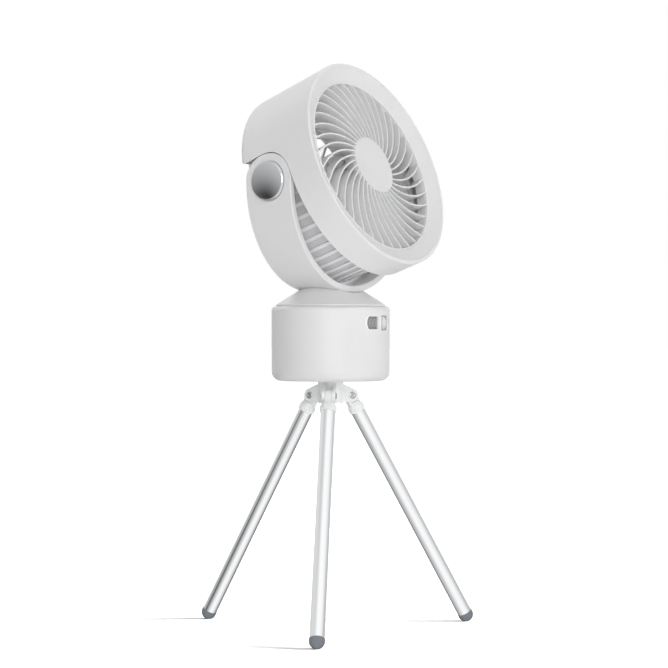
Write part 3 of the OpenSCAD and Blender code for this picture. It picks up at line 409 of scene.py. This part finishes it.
def finishPiece(piece, material, body, replaced=(), smooth=35):
    # material, smooth shading up to an angle in degrees, and the body that the piece rides on
    bpy.ops.object.select_all(action="DESELECT")
    piece.select_set(True)
    bpy.context.view_layer.objects.active = piece
    bpy.ops.object.shade_smooth_by_angle(angle=math.radians(smooth))
    piece.data.materials.clear()
    piece.data.materials.append(material)
    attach(piece, body)
    if replaced:
        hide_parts(*replaced)


def upTo(height):
    return Matrix.Translation((0, 0, height * mm))


def headPlace():
    tilt = math.radians(90 - drum["tilt"])
    return Matrix.Translation(drum["pivot"]) @ Matrix.Rotation(tilt, 4, "X")


def hingePlace(k):
    hinge = Matrix.Translation((tripod["hingeRadius"], 0, tripod["hingeHeight"]))
    return Matrix.Rotation(math.radians(tripod["angles"][k]), 4, "Z") @ hinge


def legPlace(k):
    return hingePlace(k) @ Matrix.Rotation(-math.radians(tripod["splay"]), 4, "Y")


# every size of a piece is in millimetres, and an outline's points run (radius, height)
pivotCap = {
    "radius": 16,
    "seat": 83.54,
    "side": 86.4,
    "bevel": ((15.93, 86.9), (15.66, 87.6), (15.25, 88.3), (14.95, 88.6), (14.6, 88.74)),
    "face": 89.53,
    "dome": 135.5,
    "rings": (14, 12.5, 11, 9.5, 8, 6.5, 5, 3.5, 2, 0),
    "cup": 8.5,
    "cupDepth": 1.6,
    "steps": 96,
}


def buildPivotCap(side):
    # a turned cup with a rounded bevel and a slightly domed, polished face
    cap = pivotCap
    cupFloor = cap["seat"] + cap["cupDepth"]
    profile = [(0, cupFloor), (cap["cup"], cupFloor), (cap["cup"], cap["seat"])]
    profile += [(cap["radius"], cap["seat"]), (cap["radius"], cap["side"]), *cap["bevel"]]
    for radius in cap["rings"]:
        drop = cap["dome"] - math.sqrt(cap["dome"] ** 2 - radius**2)
        profile.append((radius, cap["face"] - drop))
    piece = turnPiece("pivotCap" + side.capitalize(), profile, cap["steps"])
    turn = math.radians(90 if side == "right" else -90)
    placePiece(piece, Matrix.Translation(drum["pivot"]) @ Matrix.Rotation(turn, 4, "Y"))
    finishPiece(piece, darkChrome, "yoke", ["pivot_cap_" + side], smooth=50)


rivet = {
    "shank": 1.6,
    "head": 3,
    "grip": 5.6,
    "height": 0.8,
    # from the middle out: a peened dot, its dimple and a rounded ring, as (radius, depth below the top)
    "crown": (
        (0, 0.08),
        (0.4, 0.16),
        (0.55, 0.4),
        (1, 0.4),
        (1.2, 0.15),
        (1.75, 0),
        (2.2, 0.08),
        (2.6, 0.28),
        (2.88, 0.52),
    ),
    "steps": 48,
}


def buildRivet(k):
    # a hinge pin headed on both ends
    top = rivet["grip"] + rivet["height"]
    half = [(radius, top - depth) for radius, depth in rivet["crown"]]
    half += [(rivet["head"], rivet["grip"]), (rivet["shank"], rivet["grip"])]
    other = [(radius, -height) for radius, height in reversed(half)]
    piece = turnPiece(f"hingeRivet{k + 1}", half + other, rivet["steps"])
    placePiece(piece, hingePlace(k) @ Matrix.Rotation(math.radians(90), 4, "X"))
    finishPiece(piece, rivetSteel, "base", [f"hinge_pin_{k + 1}"], smooth=50)


tube = {
    "radius": 5.95,
    "wall": 1,
    "top": 11,  # how far below the hinge the tube starts and ends
    "end": 212.9,
    "lip": (0.2, 0.25),
    "steps": 96,
}
socket = {
    "radius": 6.78,
    "end": 14.6,
    "chamfer": 0.3,
    "groove": (12.9, 12.7, 12.4, 12.2),
    "grooveDepth": 0.22,
    "collarTop": 10.6,
    "ease": (0.4, 9.8),
    "shoulder": 6.4,
    "shoulderRound": (0.6, 0.5),
    "eye": 5,
    "eyeStep": 10,
    "tongue": 5.2,
    "pinHole": 1.65,
    "pinReach": 12,
    "overlap": 1.5,
    "slack": 0.02,
    "steps": 64,
}


def buildSocket(k):
    # a moulded knuckle: an eye on the pin, a shoulder, and a sleeve with a collar round the tube
    s, bore, top = socket, tube["radius"] + socket["slack"], -tube["top"]
    inwards, belowShoulder = s["shoulderRound"]
    groove = [-height for height in s["groove"]]
    bottom = s["radius"] - s["grooveDepth"]
    profile = [(0, top), (bore, top), (bore, -s["end"]), (s["radius"] - s["chamfer"], -s["end"])]
    profile += [(s["radius"], -s["end"] + s["chamfer"]), (s["radius"], groove[0])]
    profile += [(bottom, groove[1]), (bottom, groove[2]), (s["radius"], groove[3])]
    profile += [(s["radius"], -s["collarTop"]), (s["radius"] - s["ease"][0], -s["ease"][1])]
    profile += [(s["eye"], -s["shoulder"] - belowShoulder), (s["eye"] - inwards, -s["shoulder"])]
    profile += [(0, -s["shoulder"])]
    piece = turnPiece(f"legSocket{k + 1}", profile, s["steps"])
    arch = [math.radians(angle) for angle in range(0, 181, s["eyeStep"])]
    outline = [(s["eye"] * math.cos(a), s["eye"] * math.sin(a)) for a in arch]
    side, foot = s["eye"] - s["slack"], top + s["overlap"]
    eye = cutPlate("eye", outline + [(-side, foot), (side, foot)], s["tongue"])
    combine(piece, eye, "UNION")
    bpy.ops.mesh.primitive_cylinder_add(
        vertices=48,
        radius=s["pinHole"] * mm,
        depth=s["pinReach"] * mm,
        rotation=(math.pi / 2, 0, 0),
    )
    combine(piece, bpy.context.object, "DIFFERENCE")
    placePiece(piece, legPlace(k))
    finishPiece(piece, tripodNylon, f"leg_{k + 1}", [f"leg_socket_{k + 1}"])


def buildTube(k):
    # drawn tube with its lower end rolled in over the foot
    outer, inner, top, end = tube["radius"], tube["radius"] - tube["wall"], -tube["top"], -tube["end"]
    inwards, above = tube["lip"]
    profile = [(inner, top), (outer, top), (outer, end + above), (outer - inwards, end)]
    profile += [(inner, end), (inner, top)]
    piece = turnPiece(f"legTube{k + 1}", profile, tube["steps"])
    placePiece(piece, legPlace(k))
    metal = finishes[f"leg_tube_{k + 1}"]
    finishPiece(piece, metal, f"leg_{k + 1}", [f"leg_tube_{k + 1}"])


foot = {
    "radius": 6.3,
    "centre": 215,
    "plugTop": 204,
    "slack": 0.02,
    "edge": (0.2, 0.25),
    "noseStep": 6,
    "steps": 64,
}


def buildFoot(k):
    # a rubber plug with a round nose, worn flat where it stands
    inner, end = tube["radius"] - tube["wall"] - foot["slack"], -tube["end"] - foot["slack"]
    inwards, below = foot["edge"]
    profile = [(0, -foot["plugTop"]), (inner, -foot["plugTop"]), (inner, end)]
    profile += [(foot["radius"] - inwards, end), (foot["radius"], -tube["end"] - below)]
    for angle in range(0, 91, foot["noseStep"]):
        a = math.radians(angle)
        profile.append((foot["radius"] * math.cos(a), -foot["centre"] - foot["radius"] * math.sin(a)))
    piece = turnPiece(f"rubberFoot{k + 1}", profile, foot["steps"])
    placePiece(piece, legPlace(k))
    bpy.ops.object.mode_set(mode="EDIT")
    bpy.ops.mesh.select_all(action="SELECT")
    bpy.ops.mesh.bisect(
        plane_co=(0, 0, 0), plane_no=(0, 0, 1), use_fill=True, clear_inner=True, threshold=1e-7
    )
    bpy.ops.object.mode_set(mode="OBJECT")
    finishPiece(piece, footRubber, f"leg_{k + 1}", [f"rubber_foot_{k + 1}"], smooth=40)


# the base's wall, and what the panel's plates stand out of it or lie back in it
panel = {
    "wall": 48.4,
    "height": 250.88,
    "sink": 1.1,
    "proud": 0.25,
    "lift": 0.01,
    "band": 9,
    "reach": 20,
    "steps": 360,
}


def bowedOutline(nearX, cornerX, apexX, halfHeight, steps=14):
    # a rectangle with one bowed end, from the straight end round the bow
    rise = abs(apexX - cornerX)
    radius = (halfHeight**2 + rise**2) / (2 * rise)
    side = 1 if apexX > cornerX else -1
    spread = math.asin(halfHeight / radius)
    outline = [(nearX, -halfHeight)]
    for i in range(steps + 1):
        angle = -spread + 2 * spread * i / steps
        outline.append((apexX - side * radius * (1 - math.cos(angle)), radius * math.sin(angle)))
    return outline + [(nearX, halfHeight)]


def wrapCut(name, cutter, low, high):
    # what a cutter in front of the panel takes out of a band round the base, between two radii
    half = panel["band"]
    profile = [(low, -half), (high, -half), (high, half), (low, half), (low, -half)]
    band = turnPiece(name, profile, panel["steps"])
    cutter.data.transform(Matrix.Translation((0, -panel["wall"] * mm, 0)))
    combine(band, cutter, "INTERSECT")
    placePiece(band, upTo(panel["height"]))
    return band


def wrapPlate(name, outline, low, high):
    # a plate that follows the base's round wall, cut to an outline seen from the front
    return wrapCut(name, cutPlate("outline", outline, panel["reach"]), low, high)


def openPlate(plate, outline):
    hole = cutPlate("hole", outline, panel["reach"])
    hole.data.transform(Matrix.Translation((0, -panel["wall"] * mm, panel["height"] * mm)))
    combine(plate, hole, "DIFFERENCE")


# the outlines are given as near edge, corner, top of the bow and half height
displayTrim = {"outside": (-2.6, -13.5, -16.6, 6), "inside": (0, -13.1, -15, 5.2), "soften": 0.08}
lightBar = {"from": 0.5, "to": 2.4, "half": 6, "soften": 0.1}


def buildDisplayTrim():
    # white lens frame round the display, widest round the bowed end, open at the strip; its extra white is
    # a painted highlight round the bowed end
    low, high = panel["wall"] + panel["lift"], panel["wall"] + panel["proud"]
    trim = wrapPlate("displayTrim", bowedOutline(*displayTrim["outside"]), low, high)
    openPlate(trim, bowedOutline(*displayTrim["inside"]))
    softenEdges(trim, displayTrim["soften"])
    finishPiece(trim, highlightWhite, "base")


def buildHighlightBar():
    # a glossy white plate on the strip between display and button: a painted highlight along the strip's
    # edge
    low, high = panel["wall"] + panel["lift"], panel["wall"] + panel["proud"]
    left, right, half = lightBar["from"], lightBar["to"], lightBar["half"]
    bar = wrapPlate("lightBar", [(left, -half), (right, -half), (right, half), (left, half)], low, high)
    softenEdges(bar, lightBar["soften"])
    finishPiece(bar, highlightWhite, "base")


display = {
    "digits": (-9.9, -5.6),
    "width": 3.1,
    "height": 5,
    "bar": 0.62,
    "gap": 0.12,
    "lift": 0.005,
    "thick": 0.03,
}


def segmentPlates():
    # centre, half length and direction of the seven bars of a digit
    w, h = display["width"] / 2, display["height"] / 2
    flat = [(0, h), (0, 0), (0, -h)]
    upright = [(-w, h / 2), (w, h / 2), (-w, -h / 2), (w, -h / 2)]
    return [(x, z, w, True) for x, z in flat] + [(x, z, h / 2, False) for x, z in upright]


def buildDisplay():
    # unlit digits, a little lighter than the smoked glass over them
    bars = []
    t = display["bar"] / 2
    for digit in display["digits"]:
        for x, z, half, flat in segmentPlates():
            long = half - display["gap"]
            shape = [(-long, 0), (-long + t, t), (long - t, t), (long, 0), (long - t, -t), (-long + t, -t)]
            outline = [(a, b) if flat else (b, a) for a, b in shape]
            bars.append(cutPlate("bar", [(x + digit + a, z + b) for a, b in outline], panel["reach"]))
    low = panel["wall"] - panel["sink"] + display["lift"]
    digits = wrapCut("displayDigits", joinPieces(bars), low, low + display["thick"])
    finishPiece(digits, unlitSegment, "base")


button = {
    "face": (6, 11.8, 14.85, 5.4),
    "back": 45.2,
    "dish": 20,
    "dishDepth": 0.9,
    "dishTurn": 12,
    "soften": 0.2,
    "slack": 0.02,
    "surround": (2.85, 11.8, 14.95, 5.75),
    "surroundBack": 45.4,
    "surroundSink": 0.1,
    "flange": (1.8, 11.8, 15.9, 6.8),
    "switchRoom": (4.2, 11, 13.6, 4.6),
    "flangeWalls": (44.2, 45.38),
}


def buildButton():
    # the button's face is dished for a fingertip, and sits in a grey rubber surround whose grey is also
    # painted shade for the gap round the button
    face, gap = panel["wall"] - panel["sink"], button["slack"]
    near, corner, apex, half = button["face"]
    piece = wrapPlate("powerButton", bowedOutline(near, corner, apex, half), button["back"], face)
    away = (face + button["dish"] - button["dishDepth"]) * mm
    angle = math.radians(button["dishTurn"])
    bpy.ops.mesh.primitive_cylinder_add(
        vertices=128,
        radius=button["dish"] * mm,
        depth=panel["reach"] * mm,
        location=(math.sin(angle) * away, -math.cos(angle) * away, panel["height"] * mm),
    )
    combine(piece, bpy.context.object, "DIFFERENCE")
    softenEdges(piece, button["soften"])
    finishPiece(piece, whiteAbs, "button", ["power_button"])
    outline, sunk = bowedOutline(*button["surround"]), face - button["surroundSink"]
    surround = wrapPlate("buttonSurround", outline, button["surroundBack"], sunk)
    openPlate(surround, bowedOutline(near - gap, corner + gap, apex + gap, half + gap))
    finishPiece(surround, sealRubberGapShade, "button")
    # the flange behind the wall is open in the middle, where the switch stands
    flange = wrapPlate("buttonFlange", bowedOutline(*button["flange"]), *button["flangeWalls"])
    openPlate(flange, bowedOutline(*button["switchRoom"]))
    finishPiece(flange, sealRubberGapShade, "button")


lipBead = {
    "profile": (
        (84.3, 48.97),
        (84.55, 49.11),
        (84.98, 49.14),
        (84.98, 48.7),
        (84.66, 48.7),
        (84.66, 49.07),
        (84.3, 48.97),
    ),
    "steps": 180,
}
mouthBead = {"radius": 72.8, "height": 43.5, "round": 0.75, "sides": 12, "steps": 180}


def buildLipBead():
    # a bead closes the joint between the bezel and the shell's lip
    piece = turnPiece("lipBead", lipBead["profile"], lipBead["steps"])
    placePiece(piece, headPlace())
    finishPiece(piece, grilleAbsPaintedShade, "head", smooth=60)


def buildMouthBead():
    # the rolled inner edge of the bezel, round the vanes' outer ends
    bead, profile = mouthBead, []
    for i in range(bead["sides"] + 1):
        a = 2 * math.pi * i / bead["sides"]
        out, up = bead["round"] * math.cos(a), bead["round"] * math.sin(a)
        profile.append((bead["radius"] + out, bead["height"] + up))
    piece = turnPiece("mouthBead", profile, bead["steps"])
    placePiece(piece, headPlace())
    finishPiece(piece, grilleAbsPaintedShade, "head", smooth=80)


screw = {
    "head": 2.3,
    "shank": 1.2,
    "length": 8,
    "edge": (0.12, 0.1),
    "tip": 0.4,
    "arm": 1.3,
    "halfArm": 0.32,
    "recess": 0.75,
    "steps": 32,
}
cageScrews = {"count": 4, "first": 45, "radius": 80.54, "height": 22.9}
coverScrews = {"out": 33.5, "height": 203.48}


def buildScrews(name, places, body, replaced):
    # countersunk, with a cross recess, and joined to one piece
    head, shank, a, w = screw["head"], screw["shank"], screw["arm"], screw["halfArm"]
    neck, end = head - shank, head - shank + screw["length"]
    inwards, below = screw["edge"]
    profile = [(0, 0), (head - inwards, 0), (head, below), (shank, neck), (shank, end - screw["tip"])]
    profile += [(shank - screw["tip"], end), (0, end)]
    quarter = [(-a, -w), (-w, -w), (-w, -a)]
    cross = quarter + [(-x, z) for x, z in reversed(quarter)]
    cross += [(-x, -z) for x, z in quarter] + [(x, -z) for x, z in reversed(quarter)]
    made = []
    for place in places:
        piece = turnPiece(name, profile, screw["steps"])
        tool = cutPlate("recess", cross, 2 * screw["recess"])
        tool.data.transform(Matrix.Rotation(math.pi / 2, 4, "X"))
        combine(piece, tool, "DIFFERENCE")
        placePiece(piece, place)
        made.append(piece)
    finishPiece(joinPieces(made), plainZinc, body, [replaced])


def buildCageScrews():
    spots = []
    out = Matrix.Translation((cageScrews["radius"] * mm, 0, cageScrews["height"] * mm))
    for i in range(cageScrews["count"]):
        angle = cageScrews["first"] + i * 360 / cageScrews["count"]
        spots.append(headPlace() @ Matrix.Rotation(math.radians(angle), 4, "Z") @ out)
    buildScrews("cageScrews", spots, "head", "cage_screws")


def buildCoverScrews():
    out, height = coverScrews["out"] * mm, coverScrews["height"] * mm
    spots = [Matrix.Translation((0, side * out, height)) for side in (-1, 1)]
    buildScrews("coverScrews", spots, "base", "cover_screws")


port = {
    "height": 223.48,
    "from": 41.2,
    "to": 46.6,
    "half": 2.5,
    "thick": 0.35,
    "soften": 0.08,
    "contacts": 6,
    "pitch": 0.75,
    "halfStrip": 0.15,
    "stripProud": 0.03,
    "stripShort": 1,
}


def buildPortTongue():
    # the charging port's tongue with its contact strips
    middle, depth = (port["from"] + port["to"]) / 2, port["to"] - port["from"]
    h, t = port["half"], port["thick"]
    place = Matrix.Translation((0, middle * mm, port["height"] * mm))
    tongue = cutPlate("portTongue", [(-h, -t), (h, -t), (h, t), (-h, t)], depth)
    softenEdges(tongue, port["soften"])
    placePiece(tongue, place)
    finishPiece(tongue, blackAcetal, "base")
    strips, w, t = [], port["halfStrip"], t + port["stripProud"]
    for i in range(port["contacts"]):
        x = (i - (port["contacts"] - 1) / 2) * port["pitch"]
        outline = [(x - w, -t), (x + w, -t), (x + w, t), (x - w, t)]
        strips.append(cutPlate("portContacts", outline, depth - port["stripShort"]))
        placePiece(strips[-1], place)
    finishPiece(joinPieces(strips), turnedBrass, "base")


saddle = {
    "lip": 87.3,
    "relief": 88.05,
    "under": 89.5,
    "from": 18,
    "edge": 22.4,
    "to": 28,
    "slope": 32.6,
    "foot": 265,
    "apex": 291.98,
    "steps": 180,
    "coneSteps": 96,
}


def buildSaddlePlug():
    # closes the neck's hollow where the yoke band ends, front and back
    s, parts = saddle, []
    place = Matrix.Translation(drum["pivot"]) @ Matrix.Rotation(-math.pi / 2, 4, "X")
    reach = (s["apex"] - s["foot"]) / math.tan(math.radians(s["slope"]))
    cone = [(0, s["foot"]), (reach, s["foot"]), (0, s["apex"])]
    profile = [(s["under"], s["from"]), (s["lip"], s["from"]), (s["lip"], s["edge"])]
    profile += [(s["relief"], s["edge"]), (s["relief"], s["to"]), (s["under"], s["to"])]
    profile += [profile[0]]
    for side in (-1, 1):
        part = turnPiece("saddlePlug", [(radius, side * y) for radius, y in profile], s["steps"])
        placePiece(part, place)
        combine(part, turnPiece("cone", cone, s["coneSteps"]), "INTERSECT")
        parts.append(part)
    finishPiece(joinPieces(parts), whiteAbs, "yoke")


for side in ("left", "right"):
    buildPivotCap(side)
for k in range(3):
    buildRivet(k)
    buildSocket(k)
    buildTube(k)
    buildFoot(k)
buildDisplayTrim()
buildHighlightBar()
buildDisplay()
buildButton()
buildLipBead()
buildMouthBead()
buildCageScrews()
buildCoverScrews()
buildPortTongue()
buildSaddlePlug()
print("pieces modelled")

studio = {
    "floorSize": 60,
    "floorColour": "#E4E4E4",
    "floorDim": "#A6A6A6",  # what the floor sends back up to the object
    "liftNear": 0,  # glow that keeps the floor white, under the object and far from it
    "liftFar": 0.9,
    "liftFrom": 0.15,
    "liftTo": 1.3,
    "worldLevel": 0.31,
    "mirroredWhite": 1.09,
    "cardFloor": 0.24,  # the least that comes back from behind, so that no tube turns black from there
    "cardBlack": 0.02,
    "white": (1, 1, 1, 1),
    "aim": (0, 0, 0.3),
}
# degrees right of the camera and above the table, metres and watts; the streak lamp lights the floor alone
lamps = {
    "frontSoftbox": {"turn": 5, "rise": 12, "away": 2.2, "size": (1.2, 1.2), "power": 20.5},
    "rightSoftbox": {"turn": 100, "rise": 12, "away": 2.2, "size": (1.2, 1.2), "power": 6},
    "leftSoftbox": {"turn": -82, "rise": 60, "away": 2.2, "size": (1.2, 1.2), "power": 2},
    "topSoftbox": {"turn": 0, "rise": 88, "away": 2.2, "size": (1.2, 1.2), "power": 7},
    "backSoftbox": {"turn": -150, "rise": 52, "away": 2.2, "size": (1.2, 1.2), "power": 15},
    "streakLamp": {"turn": 84, "rise": 22, "away": 4, "size": (1.5, 0.9), "power": 520},
}
shot = {
    "distance": 1.968,
    "azimuth": -55.3,
    "height": 0.2419,
    "shift": 0.0028,
    "lens": 129.34,
    "sensor": 36,
    "farthest": 50,
}

# grey cards hung round the set, which polished metal mirrors: degrees right of the camera and above
# level, spread in degrees, and how much each takes from the white
greyCards = (
    (180, -45, 28, 2.35),
    (-90, -15, 40, 0.51),
    (110, -15, 40, 0.8),
    (-75, 60, 18, 0.1),
    (-60, -30, 28, 0.35),
    (-75, -15, 18, 0.45),
    (-120, -15, 28, 0.51),
    (180, 45, 18, 0.97),
)
# these hang on the left, and may take what the others leave almost to black
leftCards = (
    (-30, -15, 18, 0.21),
    (-90, 45, 18, 0.29),
    (-60, 60, 18, 0.39),
    (-69, -4, 10, 0.19),
)


def fromCamera(turn, rise, away):
    # a place seen from the object, turned to the right of the camera and raised, in degrees
    angle = math.radians(shot["azimuth"] + turn)
    flat = away * math.cos(math.radians(rise))
    return Vector((math.sin(angle) * flat, -math.cos(angle) * flat, away * math.sin(math.radians(rise))))


def seenDirectly(material):
    # 1 for camera, glossy and transmission rays, 0 for the light that falls on the object
    path = addNode(material, "LightPath")
    direct = {0: path.outputs["Is Camera Ray"], 1: path.outputs["Is Glossy Ray"]}
    seen = addNode(material, "Math", links=direct, operation="MAXIMUM")
    through = {0: seen.outputs[0], 1: path.outputs["Is Transmission Ray"]}
    return addNode(material, "Math", links=through, operation="MAXIMUM").outputs[0]


def buildFloor():
    # white paper to look at, that sends less light back up and brightens away from the object
    bpy.ops.mesh.primitive_plane_add(size=studio["floorSize"], location=(0, 0, 0))
    floor = bpy.context.object
    floor.name = "studioFloor"
    material = bpy.data.materials.new("paperFloor")
    material.use_nodes = True
    tree = material.node_tree
    tree.nodes.remove(tree.nodes["Principled BSDF"])
    seen = seenDirectly(material)
    coordinates = {0: addNode(material, "TexCoord").outputs["Object"]}
    away = addNode(material, "VectorMath", links=coordinates, operation="LENGTH")
    lift = addNode(
        material,
        "MapRange",
        {
            "From Min": studio["liftFrom"],
            "From Max": studio["liftTo"],
            "To Min": studio["liftNear"],
            "To Max": studio["liftFar"],
        },
        {"Value": away.outputs["Value"]},
        interpolation_type="SMOOTHSTEP",
    )
    shown = addNode(material, "Math", links={0: seen, 1: lift.outputs["Result"]}, operation="MULTIPLY")
    colours = {6: toLinear(studio["floorDim"]), 7: toLinear(studio["floorColour"])}
    colour = addNode(material, "Mix", colours, {0: seen}, data_type="RGBA")
    paper = addNode(material, "BsdfDiffuse", links={"Color": colour.outputs[2]})
    glow = addNode(material, "Emission", {"Color": studio["white"]}, {"Strength": shown.outputs[0]})
    both = addNode(material, "AddShader", links={0: paper.outputs[0], 1: glow.outputs[0]})
    tree.links.new(both.outputs[0], tree.nodes["Material Output"].inputs["Surface"])
    floor.data.materials.append(material)
    floor.visible_glossy = False  # metal mirrors the cards instead
    return floor


def hangCards(world, direction, tone, cards, least):
    # each card darkens the tone round its own direction, but never under the least
    for turn, rise, spread, depth in cards:
        sharpness = 1 / (1 - math.cos(math.radians(spread)))
        middle, looking = {1: fromCamera(turn, rise, 1)}, {0: direction}
        towards = addNode(world, "VectorMath", middle, looking, operation="DOT_PRODUCT")
        slopes, near = {1: sharpness, 2: -sharpness}, {0: towards.outputs["Value"]}
        slope = addNode(world, "Math", slopes, near, operation="MULTIPLY_ADD")
        share = addNode(world, "Math", links={0: slope.outputs[0]}, operation="EXPONENT")
        taken = {0: share.outputs[0], 2: tone.outputs[0]}
        tone = addNode(world, "Math", {1: -depth}, taken, operation="MULTIPLY_ADD")
    return addNode(world, "Math", {1: least}, {0: tone.outputs[0]}, operation="MAXIMUM")


def buildWorld():
    # white to look at, dimmer as light, and with the grey cards in what mirrors it
    world = bpy.data.worlds.new("studioWorld")
    bpy.context.scene.world = world
    world.use_nodes = True
    path = addNode(world, "LightPath")
    direction = addNode(world, "TexCoord").outputs["Generated"]
    tone = addNode(world, "Value")
    tone.outputs[0].default_value = studio["mirroredWhite"]
    tone = hangCards(world, direction, tone, greyCards, studio["cardFloor"])
    tone = hangCards(world, direction, tone, leftCards, studio["cardBlack"])
    direct = {0: path.outputs["Is Camera Ray"], 1: path.outputs["Is Transmission Ray"]}
    clear = {"Value": addNode(world, "Math", links=direct, operation="MAXIMUM").outputs[0]}
    level = addNode(world, "MapRange", {"To Min": studio["worldLevel"], "To Max": 1}, clear)
    choices = {0: path.outputs["Is Glossy Ray"], 2: level.outputs["Result"], 3: tone.outputs[0]}
    mirrored = addNode(world, "Mix", links=choices, data_type="FLOAT")
    background = world.node_tree.nodes["Background"]
    world.node_tree.links.new(mirrored.outputs[0], background.inputs["Strength"])
    background.inputs["Color"].default_value = studio["white"]


def addSoftbox(name):
    lamp, aim = lamps[name], Vector(studio["aim"])
    place = aim + fromCamera(lamp["turn"], lamp["rise"], lamp["away"])
    bpy.ops.object.light_add(type="AREA", location=place)
    light = bpy.context.object
    light.name = name
    light.data.shape = "RECTANGLE"
    light.data.size, light.data.size_y = lamp["size"]
    light.data.energy = lamp["power"]
    light.rotation_mode = "QUATERNION"
    light.rotation_quaternion = (aim - place).to_track_quat("-Z", "Y")
    light.visible_glossy = name == "frontSoftbox"  # the one highlight along the moulded edges


def lightOnly(name, surface):
    # keeps a lamp's light to one surface
    lit = bpy.data.collections.new("floorOnly")
    lit.objects.link(surface)
    bpy.data.objects[name].light_linking.receiver_collection = lit


def placeCamera():
    back = fromCamera(0, 0, 1)
    right = Vector((-back.y, back.x, 0))
    place = back * shot["distance"] + right * shot["shift"] + Vector((0, 0, shot["height"]))
    bpy.ops.object.camera_add(location=place)
    camera = bpy.context.object
    camera.name = "shotCamera"
    camera.data.lens = shot["lens"]
    camera.data.sensor_width = shot["sensor"]
    camera.data.sensor_fit = "HORIZONTAL"
    camera.data.clip_end = shot["farthest"]
    camera.rotation_mode = "QUATERNION"
    camera.rotation_quaternion = (-back).to_track_quat("-Z", "Y")
    bpy.context.scene.camera = camera


floor = buildFloor()
buildWorld()
for name in lamps:
    addSoftbox(name)
lightOnly("streakLamp", floor)
placeCamera()
bpy.context.scene.view_settings.view_transform = "Standard"
print("studio and camera ready")
